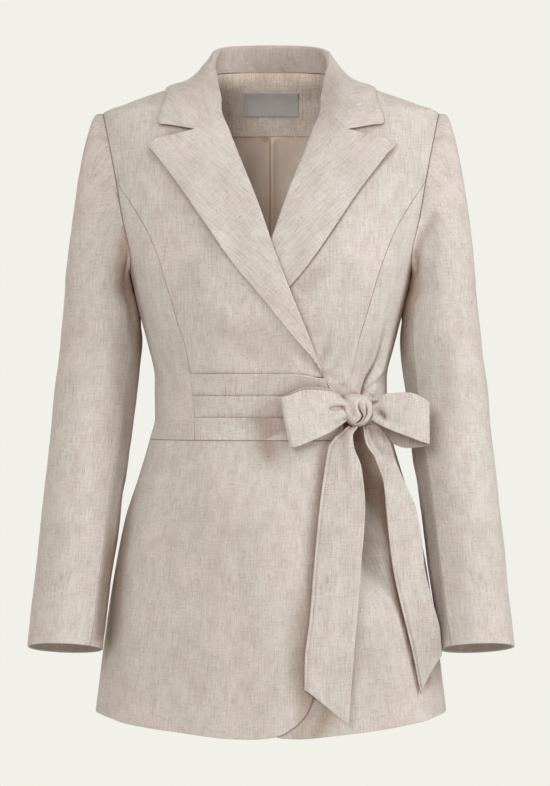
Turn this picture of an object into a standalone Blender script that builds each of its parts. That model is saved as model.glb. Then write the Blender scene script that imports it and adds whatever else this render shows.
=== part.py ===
"""A wrap blazer of slub linen, worn and filled out with no wearer.

Sizes are in millimetres and become metres when a mesh is made. +Z is up, the front faces -Y and
the wearer's right side is at -X. The origin is the middle of the neck opening, level with the neck
ends of the shoulder seams, where the garment hangs on its wearer's shoulders.

The body is `FORM`, a stack of rounded rings. A piece of the cut is a patch between four seam
lines, laid on that form and made as thick as its cloth. Each piece is worked out for the wearer's
left side, where `across` is +X, and is mirrored for the right. Two pieces that are sewn together
take the same points of their seam, and each is trimmed by half of the gap between them.
"""

import math

import bmesh
import bpy
import numpy as np
from mathutils import Vector
from mathutils.bvhtree import BVHTree

MM = 0.001
COLLECTION = "wrap_blazer"

# Walls and clearances
LINEN = 1.2
TIE_WALL = 1.6
LINING_WALL = 1.0
LABEL_WALL = 0.8
SEAM_GAP = 0.6
WRAP_LAYER = 7.5  # how far the right front stands in front of the left one
LAPEL_LIFT = 3.4
COLLAR_LIFT = 5.0
COLLAR_EDGE_LIFT = 3.4
SHOULDER_TRIM = 0.5
LINING_INSET = 5.8  # from a back's outer face to the lining or facing behind it
FACING_SEWN = 4.2  # the same along the neck seam, where the facing is sewn in
LABEL_INSET = 8.0
TIE_LIFT = 4.0

# Heights
NECK_BACK = 16.0
NECK_SIDE = 1.0
SHOULDER = -38.5
SHOULDER_TIP = 191.0  # across, at that height
JOIN = -120.0  # where the princess seams run into the armhole
ARMPIT = -222.0
BREAK = -334.0  # lowest point of the lapel's fold
PLEAT_TOP = -336.0
WAIST = -409.0
LINING_END = -404.0
CUFF = -641.0
SKIRT_END = -745.0

# Steps along each seam that two pieces share
PRINCESS_STEPS = 6
ARMHOLE_STEPS = 5
UNDERARM_STEPS = 4
ROLL_STEPS = 8
NECK_FRONT_STEPS = 3
NECK_BACK_STEPS = 5
SHOULDER_STEPS = 7
GORGE_STEPS = 2

PLEATS = 3
PLEAT_UNDERLAP = 4.0
PLEAT_LIFT = 2.6
PLEAT_SEWN_LIFT = 0.75  # share of its lift that a pleat keeps at the princess seam
PLEAT_COLUMNS = 8


# ---------------------------------------------------------------- tables and patches


def smooth(xs, ys, x):
    """A curve through the points (xs, ys) that never overshoots them, read at x."""
    x = np.clip(np.asarray(x, float), xs[0], xs[-1])
    width = np.diff(xs)
    slope = np.diff(ys) / width
    same_way = slope[:-1] * slope[1:] > 0
    total = np.where(same_way, slope[:-1] + slope[1:], 1)
    middle = np.where(same_way, 2 * slope[:-1] * slope[1:] / total, 0)
    tangent = np.concatenate([slope[:1], middle, slope[-1:]])
    i = np.clip(np.searchsorted(xs, x, side="right") - 1, 0, len(width) - 1)
    t = (x - xs[i]) / width[i]
    start = (1 + 2 * t) * (1 - t) ** 2 * ys[i] + t * (1 - t) ** 2 * width[i] * tangent[i]
    end = t * t * (3 - 2 * t) * ys[i + 1] + t * t * (t - 1) * width[i] * tangent[i + 1]
    return start + end


class Table:
    """Rows of sizes with named columns, read smoothly by the first column."""

    def __init__(self, columns, *rows):
        self.names = columns.split()
        self.rows = np.array(sorted(rows), float)

    def read(self, column, at):
        return smooth(self.rows[:, 0], self.rows[:, self.names.index(column)], at)

    def seam(self, column, heights):
        """Points (across, height) of the line that a column gives."""
        return np.stack([self.read(column, heights), heights], -1)


def ramp(low, high, x):
    """0 up to low, 1 from high on, and smooth between them."""
    t = np.clip((np.asarray(x, float) - low) / (high - low), 0, 1)
    return t * t * (3 - 2 * t)


def bump(centre, width, x):
    return np.exp(-(((np.asarray(x, float) - centre) / width) ** 2))


def straight(start, end, steps):
    share = np.linspace(0, 1, steps + 1)[:, None]
    return np.asarray(start, float) * (1 - share) + np.asarray(end, float) * share


def crowded(start, end, steps, power=2.0):
    """Numbers from start to end, closer together near the end."""
    return start + (end - start) * (1 - (1 - np.linspace(0, 1, steps + 1)) ** power)


def chain(*runs):
    """Lines end to end as one, each without the point that it shares with the one before."""
    return np.concatenate([runs[0], *[run[1:] for run in runs[1:]]])


def patch(bottom, right, top, left):
    """The grid that fills four lines: bottom and top run left to right, the others upwards."""
    u = np.linspace(0, 1, len(bottom))[None, :, None]
    v = np.linspace(0, 1, len(left))[:, None, None]
    low, high, west, east = bottom[None], top[None], left[:, None], right[:, None]
    corners = (1 - v) * ((1 - u) * low[:, :1] + u * low[:, -1:])
    corners = corners + v * ((1 - u) * high[:, :1] + u * high[:, -1:])
    return (1 - v) * low + v * high + (1 - u) * west + u * east - corners


# ---------------------------------------------------------------- the general figure

FORM = Table(
    "height half_width front back square",
    (60, 61, 44, 57, 2.0),
    (46, 62, 42, 58, 2.0),
    (16, 66, 40, 62, 2.0),
    (8, 71, 40, 63, 2.0),
    (NECK_SIDE, 81, 41, 66, 2.0),
    (-4, 94, 42, 69, 2.1),
    (-9, 110, 44, 73, 2.2),
    (-18.5, 139, 48, 79, 2.35),
    (-28.5, 166, 52, 84, 2.5),
    (SHOULDER, SHOULDER_TIP, 57, 88, 2.6),
    (-80, 188, 76, 99, 2.8),
    (JOIN, 184, 96, 105, 2.8),
    (-160, 176, 111, 106, 2.65),
    (-200, 166, 121, 104, 2.45),
    (ARMPIT, 160, 124, 102, 2.35),
    (-260, 151, 122, 98, 2.25),
    (-300, 141, 114, 92, 2.2),
    (-342, 132, 105, 87, 2.15),
    (-383, 132, 102, 87, 2.15),
    (WAIST, 138, 105, 91, 2.15),
    (-450, 150, 113, 101, 2.15),
    (-500, 166, 122, 112, 2.1),
    (-560, 178, 130, 122, 2.1),
    (-640, 190, 136, 130, 2.1),
    (SKIRT_END, 203, 142, 136, 2.1),
)
BUST = {"across": 84, "height": -200, "wide": 52, "tall": 62, "rise": 7}


def ring(height):
    return [FORM.read(name, height) for name in ("half_width", "front", "back", "square")]


def bust(across, height):
    """Fullness that the cut gives the front over each side of the chest."""
    near = bump(BUST["across"], BUST["wide"], np.abs(across))
    return BUST["rise"] * near * bump(BUST["height"], BUST["tall"], height)


def inside(across, height):
    half, _, _, square = ring(height)
    return np.clip(1 - np.abs(across / half) ** square, 0, 1)


def on_front(across, height):
    _, front, _, square = ring(height)
    room = inside(across, height)
    return -front * room ** (1 / square) - bust(across, height) * ramp(0, 0.35, room)


def on_back(across, height):
    _, _, back, square = ring(height)
    return back * inside(across, height) ** (1 / square)


def angle_of(plane, behind=False):
    """(angle, height) of points (across, height): 0 is the centre front, 90 the side."""
    across, height = plane[..., 0], plane[..., 1]
    _, front, back, square = ring(height)
    depth = inside(across, height) ** (1 / square)
    y = depth * back if behind else -depth * front
    return np.stack([np.degrees(np.arctan2(across, -y)), height], -1)


def around(polar, out=0.0):
    """Points of the form at (angle, height), moved out level by `out`."""
    angle, height = polar[..., 0], polar[..., 1]
    half, front, back, square = ring(height)
    side, forward = np.sin(np.radians(angle)), np.cos(np.radians(angle))
    depth = np.where(forward >= 0, front, back)
    reach = (np.abs(side / half) ** square + np.abs(forward / depth) ** square) ** (-1 / square)
    x = reach * side
    swell = np.where(forward > 0, bust(x, height) * ramp(0, 0.35, inside(x, height)), 0)
    return np.stack([x + out * side, -reach * forward - swell - out * forward, height + 0 * x], -1)


# ---------------------------------------------------------------- seam lines

SEAMS = Table(
    "height princess back_princess",
    (WAIST, 84, 70),
    (-381, 84.5, 68),
    (-353, 87, 69),
    (-305, 95, 77),
    (-277, 104, 85),
    (-239, 115, 99),
    (-202, 126.5, 114),
    (-178, 137, 127),
    (-143, 158, 152),
    (JOIN, 173.5, 173.5),
)
ARMHOLE = Table(
    "height across",
    (ARMPIT, 160),
    (-215, 157.8),
    (-207, 157.5),
    (-162, 166),
    (JOIN, 173.5),
    (-78, 182),
    (SHOULDER, SHOULDER_TIP),
)
# The fold of a lapel, how far it lies behind the chest, and the lapel's free edge
LAPEL = Table(
    "height fold dip edge",
    (NECK_SIDE, 57, 0, 137),
    (-36, 57, 20, 137),
    (-67, 46, 12, 137),
    (-80, 41, 9, 137),
    (-97, 34.5, 6, 125),
    (-137, 18.5, 1.5, 95),
    (-181, 3, 0, 66),
    (-210, -7.5, 0, 46),
    (-252, -24, 0, 11),
    (-297, -42, 0, -26),
    (-328, -54, 0, -52),
    (BREAK - 5, -60, 0, -57),
)
LAPEL_START = -331.0
LAPEL_TOE = (5, 4)  # from the start of a lapel's fold to the start of its free edge
LAPEL_TURN = 3.0  # cloth of the fold, from the lapel's face back to the front's edge
ROLL_WIDTH = 42.0  # over which the chest bends back to the fold
GORGE = (57, -36)
NOTCH = (85, -65)
LAPEL_TIP = (137, -80)
COLLAR_POINT = (123, -55.5)
NECK_POINT = (81, NECK_SIDE)
NECK = Table("across front back", (0, -60, 16), (25, -57, 15.6), (45, -46, 13.8), (57, -36, 11.8),
             (62, -29, 10.4), (70, -18, 7.2), (76, -9.5, 3.8), (80, -2, 1.5), (81, NECK_SIDE, NECK_SIDE))
SHOULDER_LINE = Table("across height", (81, NECK_SIDE), (94, -4), (110, -9), (139, -18.5), (166, -28.5),
                      (SHOULDER_TIP, SHOULDER))


def seam_heights():
    """Heights of the points on the princess seams, from the waist to the armhole."""
    pleats = np.linspace(WAIST, PLEAT_TOP - PLEAT_UNDERLAP / 2, PLEATS + 1)
    return chain(pleats, np.linspace(pleats[-1], JOIN, PRINCESS_STEPS + 1))


def armhole_top():
    return ARMHOLE.seam("across", crowded(JOIN, SHOULDER, ARMHOLE_STEPS, power=1.4))


def armhole_low():
    """From the princess seam down to the underarm."""
    return ARMHOLE.seam("across", crowded(JOIN, ARMPIT, UNDERARM_STEPS))


def shoulder_line():
    across = np.linspace(NECK_POINT[0], SHOULDER_TIP, SHOULDER_STEPS + 1)
    return np.stack([across, SHOULDER_LINE.read("height", across)], -1)


def neck_front():
    across = crowded(GORGE[0], NECK_POINT[0], NECK_FRONT_STEPS, power=1.6)
    return np.stack([across, NECK.read("front", across)], -1)


def neck_back():
    across = crowded(0, NECK_POINT[0], NECK_BACK_STEPS, power=1.5)
    return np.stack([across, NECK.read("back", across)], -1)


def fold_line(start=BREAK):
    return LAPEL.seam("fold", np.linspace(start, GORGE[1], ROLL_STEPS + 1))


def wrapping(across, height):
    """Share of the wrap's layer that a point of the right side stands out by."""
    return ramp(-115, -65, -np.asarray(across)) * ramp(90, 170, -np.asarray(height))


def front(plane, layer=0.0):
    """Points of a front's outer face, which bends back to the fold of its lapel."""
    across, height = plane[..., 0], plane[..., 1]
    away = np.clip((across - LAPEL.read("fold", height)) / ROLL_WIDTH, 0, 1)
    bend = LAPEL.read("dip", height) * (1 - away) ** 2
    y = on_front(across, height) + bend - layer * wrapping(across, height)
    return np.stack([across, y, height], -1)


def back(plane):
    across, height = plane[..., 0], plane[..., 1]
    return np.stack([across, on_back(across, height), height], -1)


def wrapped(points, layer):
    """Points on the side or skirt, moved out as far as the wrap moves them."""
    out = points.copy()
    forward = ramp(0, 40, -points[..., 1])
    out[..., 1] -= layer * wrapping(points[..., 0], points[..., 2]) * forward
    return out


# ---------------------------------------------------------------- cloth


def unit(vectors):
    return vectors / np.maximum(np.linalg.norm(vectors, axis=-1, keepdims=True), 1e-9)


def outward(points):
    """Unit normals of a grid, on the side from which its rows read left to right."""
    return unit(np.cross(np.gradient(points, axis=1), np.gradient(points, axis=0)))


def moved(points, distance):
    return points + outward(points) * np.asarray(distance, float)[..., None]


def trimmed(points, gap=SEAM_GAP / 2):
    """The grid with each of its edges drawn in square to itself, for the gap at a seam."""
    shift = np.zeros_like(points)
    for edge, inner in ((np.s_[:, 0], np.s_[:, 1]), (np.s_[:, -1], np.s_[:, -2]),
                        (np.s_[0], np.s_[1]), (np.s_[-1], np.s_[-2])):
        along = unit(np.gradient(points[edge], axis=0))
        way = points[inner] - points[edge]
        square = way - along * np.sum(way * along, axis=-1, keepdims=True)
        shift[edge] += gap * unit(square)
    return points + shift


def mirrored(points):
    """The grid on the other side of the body, still read from outside."""
    return points[:, ::-1] * (-1, 1, 1)


def cloth(name, points, wall, finish):
    """A piece of cloth: a grid laid on `points`, which Solidify makes thick inwards."""
    rows, columns = points.shape[0] - 1, points.shape[1] - 1
    grid = bmesh.new()
    bmesh.ops.create_grid(grid, x_segments=columns, y_segments=rows, size=1)
    for vertex in grid.verts:
        column = round((vertex.co.x + 1) / 2 * columns)
        row = round((vertex.co.y + 1) / 2 * rows)
        vertex.co = points[row, column] * MM
    piece = add_piece(name, grid, finish)
    solid = piece.modifiers.new("wall", "SOLIDIFY")
    solid.thickness = wall * MM
    solid.offset = -1
    return piece


def add_piece(name, shape, finish):
    mesh = bpy.data.meshes.new(name)
    shape.to_mesh(mesh)
    shape.free()
    mesh.shade_smooth()
    mesh.materials.append(finish)
    piece = bpy.data.objects.new(name, mesh)
    bpy.data.collections[COLLECTION].objects.link(piece)
    return piece


def pair(name, make, wall, finish, gap=SEAM_GAP):
    """The left and the right piece. `make` takes the layer that the side is worn at."""
    cloth(f"{name}_left", trimmed(make(0.0), gap / 2), wall, finish)
    cloth(f"{name}_right", mirrored(trimmed(make(WRAP_LAYER), gap / 2)), wall, finish)


# ---------------------------------------------------------------- bodice


def crested(grid):
    """The grid with its top row on the crest of the shoulder, short of the seam there."""
    grid[-1, :, 1] = SHOULDER_TRIM * np.sign(grid[-2, :, 1])
    return grid


def front_panel(layer):
    """From the shoulder to the waist, or on the right to the first pleat."""
    heights = seam_heights()
    edge = LAPEL.seam("fold", [BREAK])
    if layer:
        hem = PLEAT_TOP - PLEAT_UNDERLAP
        heights = np.concatenate([[hem], heights[PLEATS + 1:]])
        inner = chain(fold_line(hem), neck_front())
    else:
        below = straight((edge[0, 0], WAIST), edge[0], PLEATS)
        inner = chain(below, fold_line(), neck_front())
    outer = chain(SEAMS.seam("princess", heights), armhole_top())
    bottom = straight(inner[0], outer[0], SHOULDER_STEPS)
    return crested(front(patch(bottom, outer, shoulder_line(), inner), layer))


def side_panel(layer):
    heights = seam_heights()
    left = angle_of(SEAMS.seam("princess", heights))
    right = angle_of(SEAMS.seam("back_princess", heights), behind=True)
    low = armhole_low()
    top = chain(angle_of(low), angle_of(low[::-1], behind=True))
    bottom = straight(left[0], right[0], 2 * UNDERARM_STEPS)
    return wrapped(around(patch(bottom, right, top, left)), layer)


def back_panel(_layer):
    heights = seam_heights()
    outer = chain(SEAMS.seam("back_princess", heights), armhole_top())
    rise = crowded(WAIST, NECK_BACK, len(outer) - 1 - NECK_BACK_STEPS, power=1.3)
    centre = np.stack([0 * rise, rise], -1)
    inner = chain(centre, neck_back())
    bottom = straight(inner[0], outer[0], SHOULDER_STEPS)
    return crested(back(patch(bottom, outer, shoulder_line(), inner)))[:, ::-1]


def pleat(number):
    """A tuck of the right front's waist: its upper edge is a fold that stands off the cloth."""
    tall = (PLEAT_TOP - WAIST) / PLEATS
    top = PLEAT_TOP - number * tall
    low = max(top - tall - PLEAT_UNDERLAP, WAIST)
    heights = np.array([low, (low + top) / 2, top])
    left = WRAP_EDGE.seam("right", heights)
    right = SEAMS.seam("princess", heights)
    bottom = straight(left[0], right[0], PLEAT_COLUMNS)
    grid = patch(bottom, right, straight(left[-1], right[-1], PLEAT_COLUMNS), left)
    lift = np.linspace(0, PLEAT_LIFT, len(heights))[:, None] * np.ones(PLEAT_COLUMNS + 1)
    lift[:, -1] *= PLEAT_SEWN_LIFT
    return moved(front(grid, WRAP_LAYER), lift)


# ---------------------------------------------------------------- skirt

# The free front edge of each front below its lapel, as `across` on its own side. It rounds off
# from EDGE_CORNER down through HEM_CORNER to HEM_START.
HEM_START = -726.0
HEM_CORNER = -717.0
EDGE_CORNER = -692.0
WRAP_EDGE = Table(
    "height right left",
    (HEM_START, -13, -2),
    (HEM_CORNER, -27, -14),
    (-708, -36, -19),
    (EDGE_CORNER, -44.5, -24),
    (-660, -52, -29),
    (-560, -63, -40),
    (-480, -73, -50),
    (WAIST, -81, -58),
    (BREAK - 4, -59, -59),
    (BREAK, -57.5, -57.5),
)
HEM = Table("angle height", (-30, -728), (-6, -729), (4, -731), (13, -732), (29, -729), (46, -725.5),
            (62, -721.5), (78, -718), (90, -718), (135, -720), (180, -722))
SKIRT_FOLDS = Table(
    "angle left back",
    (0, 0, 0),
    (36, 0, 0),
    (50, 13, 0),
    (64, 0, 0),
    (100, 0, 0),
    (125, 0, 3),
    (150, 0, -2),
    (180, 0, 3),
)
FOLD_TOP = -425.0
FOLD_DEEPEST = (-470.0, -520.0)
FOLD_END = -600.0
CORNER_STEPS = 2
EDGE_STEPS = 5
HEM_STEPS = 10
HEM_FIRST = 6.0  # degrees from the rounded corner to the hem's next point
LAYER_LOST = 0.4  # share of the wrap's layer that is lost down to the hem
BACK_STEPS = (8, 5)


def skirt_front(layer):
    """From the free edge, which rounds into the hem, to the side seam."""
    side = "right" if layer else "left"
    corner = np.linspace(HEM_CORNER, EDGE_CORNER, CORNER_STEPS + 1)
    heights = chain(corner, np.linspace(EDGE_CORNER, WAIST, EDGE_STEPS + 1))
    left = angle_of(WRAP_EDGE.seam(side, heights))
    turn = angle_of(WRAP_EDGE.seam(side, np.array([HEM_CORNER, HEM_START])))
    angles = np.linspace(turn[-1, 0] + HEM_FIRST, 90, HEM_STEPS + 1)
    bottom = np.concatenate([turn, np.stack([angles, HEM.read("height", angles)], -1)])
    right = np.stack([np.full(len(left), 90.0), np.linspace(bottom[-1, 1], WAIST, len(left))], -1)
    top = straight(left[-1], right[-1], len(bottom) - 1)
    polar = patch(bottom, right, top, left)
    angle, height = polar[..., 0], polar[..., 1]
    deep = ramp(-FOLD_TOP, -FOLD_DEEPEST[0], -height) * ramp(FOLD_END, FOLD_DEEPEST[1], height)
    inward = 0 if layer else SKIRT_FOLDS.read("left", angle) * deep
    return wrapped(around(polar, -inward), layer * (1 - LAYER_LOST * down_skirt(height)))


def down_skirt(height):
    """0 at the waist, 1 from the corner of the front edge down."""
    return ramp(-WAIST, -EDGE_CORNER, -height)


def skirt_back(_layer):
    columns, rows = BACK_STEPS
    angles = np.linspace(90, 180, columns + 1)
    bottom = np.stack([angles, HEM.read("height", angles)], -1)
    top = np.stack([angles, np.full(columns + 1, WAIST)], -1)
    right, left = straight(bottom[-1], top[-1], rows), straight(bottom[0], top[0], rows)
    polar = patch(bottom, right, top, left)
    return around(polar, -SKIRT_FOLDS.read("back", polar[..., 0]) * down_skirt(polar[..., 1]))


# ---------------------------------------------------------------- lapels and collar


def lapel(layer):
    """Folded out of the front's edge and laid on the chest, with its peak towards the shoulder."""
    fold = fold_line(LAPEL_START)
    low = fold[0] + LAPEL_TOE
    heights = np.linspace(low[1], LAPEL_TIP[1], ROLL_STEPS + 1)
    edge = LAPEL.seam("edge", heights)
    edge[0] = low
    top = chain(straight(GORGE, NOTCH, GORGE_STEPS), straight(NOTCH, LAPEL_TIP, 3))
    bottom = straight(fold[0], edge[0], GORGE_STEPS + 3)
    grid = patch(bottom, edge, top, fold)
    face = moved(front(grid, layer), LAPEL_LIFT)
    turned = front(fold[:, None] - (LAPEL_TURN, 0), layer)
    turned[..., 1] += LINEN / 2
    return np.concatenate([turned, face], axis=1)


# Where the collar folds, and the angle and height of its free edge, from the gorge to the back
COLLAR = Table(
    "turn x y z edge_angle edge_height",
    (0.0, 57, -35, -36, 65.5, -55.5),
    (0.1, 60, -24, -23, 67, -42),
    (0.2, 62, -12, -8, 71, -25),
    (0.3, 63, 2, 13, 84, -11.5),
    (0.5, 61, 23, 36, 104, -9),
    (0.75, 44, 46, 45, 140, -8),
    (1.0, 0, 57, 47.5, 180, -8),
)
FALL_ROWS = 5
STAND_GAP = 1.0
STAND_SHORT = 3.2  # from the stand's upper edge to the crest of the fold over it
COLLAR_SIDE = 0.3  # turn of the collar at the shoulder seam
FALL_STEPS = 5  # on each side of the shoulder seam
FALL_LIFT = 6.2  # of the fall over the stand
FALL_ROLL = 2.0  # from the crest of the fold to where the fall lies parallel to the stand
REST_LOW = -180.0  # how far down the surfaces go that the fall rests on
FINE = 20  # steps along them
DEEPEST = 14.0  # a point further under a surface than this is not meant to lie on it


def collar_turns():
    """Stations along the neck seam, from the gorge round to the centre back."""
    side = COLLAR_SIDE
    return chain(np.linspace(0, side, NECK_FRONT_STEPS + 1), np.linspace(side, 1, NECK_BACK_STEPS + 1))


def both_sides(half):
    """A grid from the gorge to the centre back, continued to the other gorge."""
    other = half[:, ::-1] * (-1, 1, 1)
    return np.concatenate([half, other[:, 1:]], axis=1)


def neck_seam():
    return chain(front(neck_front()), back(neck_back()[::-1]))


def between(points, known, at):
    """The line that runs through `points` at the values `known`, read at other values."""
    return np.stack([smooth(known, points[:, k], at) for k in range(points.shape[1])], -1)


def stand(turns):
    """The stand's outer face: its seam at the neck, and its fold."""
    seam = between(neck_seam(), collar_turns(), turns)
    return seam, np.stack([COLLAR.read(name, turns) for name in "xyz"], -1)


def collar_stand():
    """From the neck seam up to the fold. It starts a step behind the gorge, where it has height."""
    low, high = stand(collar_turns()[1:])
    way = unit(high - low)
    low, high = low + way * STAND_GAP, high - way * STAND_SHORT
    share = np.linspace(0, 1, 3)[:, None, None]
    return both_sides(low[None] * (1 - share) + high[None] * share)


def collar_fall():
    """From the fold down over the stand, the shoulders and the fronts, to its free edge."""
    turns = chain(np.linspace(0, COLLAR_SIDE, FALL_STEPS + 1), np.linspace(COLLAR_SIDE, 1, FALL_STEPS + 1))
    seam, fold = stand(turns)
    out = unit(np.cross(seam - fold, np.gradient(fold, axis=0)))
    start = fold + out * FALL_LIFT + unit(seam - fold) * FALL_ROLL
    polar = np.stack([COLLAR.read("edge_angle", turns), COLLAR.read("edge_height", turns)], -1)
    edge = around(polar, COLLAR_EDGE_LIFT)
    gorge = lapel(0.0)[-1, 1:GORGE_STEPS + 2]
    corner = front(np.array([COLLAR_POINT])) - (0, COLLAR_EDGE_LIFT, 0)
    end = chain(gorge, straight(gorge[-1], corner[0], FALL_ROWS - GORGE_STEPS))
    centre = straight(start[-1], edge[-1], FALL_ROWS)
    start[0], edge[0] = end[0], end[-1]
    body = patch(edge, centre[::-1], start, end[::-1])
    lift = np.full(FALL_ROWS + 1, COLLAR_LIFT)
    lift[0] = COLLAR_EDGE_LIFT
    body[:-1, 1:] = resting(body[:-1, 1:], [*shoulders(), stand_surface()], lift)
    return both_sides(np.concatenate([body, fold[None]]))


def stand_surface():
    seam, fold = stand(np.linspace(0, 1, 2 * FINE))
    share = np.linspace(0, 1, FALL_ROWS)[:, None, None]
    return surface(seam[None] * (1 - share) + fold[None] * share)


def shoulders():
    """A fine surface of the left front and back, for what lies on them."""
    outer = ARMHOLE.seam("across", crowded(REST_LOW, SHOULDER, 2 * FINE, power=1.6))
    fold = LAPEL.seam("fold", np.linspace(REST_LOW, GORGE[1], FINE + 1))
    inner_front = chain(fold, fine(neck_front(), FINE))
    inner_back = chain(straight((0, REST_LOW), (0, NECK_BACK), FINE), fine(neck_back(), FINE))
    crest = fine(shoulder_line(), FINE)
    ahead = front(patch(straight(inner_front[0], outer[0], FINE), outer, crest, inner_front))
    behind = back(patch(straight(inner_back[0], outer[0], FINE), outer, crest, inner_back))[:, ::-1]
    ahead[-1, :, 1] = 0
    behind[-1, :, 1] = 0
    return [surface(ahead), surface(behind)]


def fine(points, steps):
    """The line through the points, cut into more steps."""
    return between(points, np.arange(len(points)), np.linspace(0, len(points) - 1, steps + 1))


def surface(points):
    """A searchable surface of a grid of points."""
    rows, columns = points.shape[:2]
    index = np.arange(rows * columns).reshape(rows, columns)
    quads = np.stack([index[:-1, :-1], index[:-1, 1:], index[1:, 1:], index[1:, :-1]], -1)
    return BVHTree.FromPolygons(points.reshape(-1, 3).tolist(), quads.reshape(-1, 4).tolist())


def resting(points, surfaces, lift):
    """The points, with those under the surfaces or nearer than their row's lift moved out."""
    out = points.copy()
    for place in np.ndindex(points.shape[:2]):
        point = Vector(points[place])
        spot, normal, _, away = min((s.find_nearest(point) for s in surfaces), key=lambda hit: hit[3])
        under = (point - spot).dot(normal) < 0 and away < DEEPEST
        if under or away < lift[place[0]]:
            out[place] = spot + normal * lift[place[0]]
    return out


# ---------------------------------------------------------------- inside the back


FACING_END = -54.0
FACING_HALF = 82.0
FACING_ROWS = 4
LABEL = {"half_width": 32.5, "top": -2.0, "bottom": -30.0}
LABEL_STEPS = (6, 2)
LINING_TIP = (150, -66)
LINING = Table("height half_width", (LINING_END, 100), (-300, 108), (ARMPIT, 126), (-160, 137),
               (-110, 145), LINING_TIP[::-1])
LINING_TOP = Table("across height", (0, FACING_END), (FACING_HALF, FACING_END), (120, -59), LINING_TIP)
LINING_COLUMNS = (-1, -0.8, -0.55, -0.3, -0.07, 0.01, 0.06, 0.3, 0.55, 0.8, 1)
LINING_ROWS = 8
LINING_PLEAT = {"across": 1.5, "width": 3.5, "rise": 3.0, "flat_below": -254.0}


def neck_facing():
    seam = neck_back()[:-1]
    top = np.concatenate([seam[:0:-1] * (-1, 1), seam])
    bottom = straight((-FACING_HALF, FACING_END), (FACING_HALF, FACING_END), len(top) - 1)
    right, left = straight(bottom[-1], top[-1], FACING_ROWS), straight(bottom[0], top[0], FACING_ROWS)
    inset = np.full((FACING_ROWS + 1, 1), LINING_INSET)
    inset[-1] = FACING_SEWN
    return moved(back(patch(bottom, right, top, left))[:, ::-1], -inset)


def neck_label():
    columns, rows = LABEL_STEPS
    across = np.linspace(-LABEL["half_width"], LABEL["half_width"], columns + 1)
    grid = np.stack(np.meshgrid(across, np.linspace(LABEL["bottom"], LABEL["top"], rows + 1)), -1)
    return moved(back(grid)[:, ::-1], -LABEL_INSET)


def lining_back():
    """Its pleat folds along the centre, deepest under the facing."""
    share, rise = np.array(LINING_COLUMNS), np.linspace(0, 1, LINING_ROWS + 1)[:, None]
    side = LINING.read("half_width", LINING_END + rise * (LINING_TIP[1] - LINING_END))
    top = LINING_TOP.read("height", np.abs(share) * LINING_TIP[0]) - SEAM_GAP
    grid = np.stack([share * side, LINING_END * (1 - rise) + top * rise], -1)
    fold = LINING_PLEAT["rise"] * bump(LINING_PLEAT["across"], LINING_PLEAT["width"], grid[..., 0])
    fold = fold * ramp(LINING_END, LINING_PLEAT["flat_below"], grid[..., 1])
    return moved(back(grid)[:, ::-1], -LINING_INSET - fold[:, ::-1])


# ---------------------------------------------------------------- sleeves

SLEEVE = Table(
    "height across half_width half_depth forward lean splay",
    (-240, 194.0, 40.0, 58, 0, 0, 0),
    (-262, 192.0, 44.2, 59, 0, 0, 0),
    (-301, 193.6, 46.8, 58, 1, 1, 0),
    (-356, 199.5, 46.7, 54, 5, 6, 0.03),
    (-410, 204.4, 45.9, 50.5, 14, 11, 0.06),
    (-464, 210.9, 44.2, 47.5, 26, 13, 0.07),
    (-517, 216.6, 43.7, 45.5, 38, 13, 0.06),
    (-580, 223, 42.7, 43.5, 52, 13, 0.05),
    (CUFF, 229.3, 41.8, 42, 65, 13, 0.035),
)
SLEEVE_RINGS = (-240, -268, -302, -345, -390, -440, -490, -540, -590, CUFF)
CAP_SHARES = (0, 0.06, 0.16, 0.34, 0.56, 0.78)
CAP_END = (0.05, 0, -1.1)  # how it runs into the arm, as shares of its height
# How the cloth of the sleeve head leaves the armhole, by angle round the arm from its top
CAP = Table(
    "angle out forward down",
    (0, 86, 0, -14),
    (45, 66, 14, -26),
    (90, 30, 16, -30),
    (135, 12, 8, -20),
    (180, 3, 0, -10),
)
# The line down the outside of the arm, from the shoulder's tip
SLEEVE_HEAD = Table("height across", (SHOULDER, 192), (-40, 198), (-43, 201), (-54.7, 205.2),
                    (-82, 212), (-123, 218.9), (-178, 226.9), (-240, 234))
HEAD_WIDTH = 34.0  # degrees round the arm from that line over which the cap follows it
ROUND_ARM = {"shoulder": 0, "join": 78, "underarm": 180}
SEAM_COLUMNS = {"front": 7, "back": 13}
SLEEVE_CLEAR = 3.0  # between the arm's inner side and the body
SLEEVE_SEAM_GAP = 1.3  # wider outside than at the inner faces, which meet round a bend


def sleeve_angles():
    upper = np.linspace(ROUND_ARM["shoulder"], ROUND_ARM["join"], ARMHOLE_STEPS + 1)
    half = chain(upper, np.linspace(ROUND_ARM["join"], ROUND_ARM["underarm"], UNDERARM_STEPS + 1))
    return chain(half, 360 - half[::-1])


def armhole_loop():
    """The armhole from the shoulder down its front, under the arm and up its back."""
    half = chain(armhole_top()[::-1], armhole_low())
    loop = chain(front(half), back(half[::-1]))
    loop[[0, -1], 1] = 0
    return loop


def sleeve_ring(height, angles):
    across, wide, deep, forward, lean, splay = [
        SLEEVE.read(name, height)
        for name in ("across", "half_width", "half_depth", "forward", "lean", "splay")
    ]
    x = wide * np.cos(np.radians(angles))
    y = -deep * np.sin(np.radians(angles))
    z = height - y * math.tan(math.radians(lean)) + x * splay
    half, front_depth, back_depth, square = ring(z)
    depth = np.where(y - forward < 0, front_depth, back_depth)
    room = np.clip(1 - np.abs((y - forward) / depth) ** square, 0, 1)
    body = half * room ** (1 / square)
    return np.stack([np.maximum(across + x, body + SLEEVE_CLEAR), y - forward, z], -1)


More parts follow.
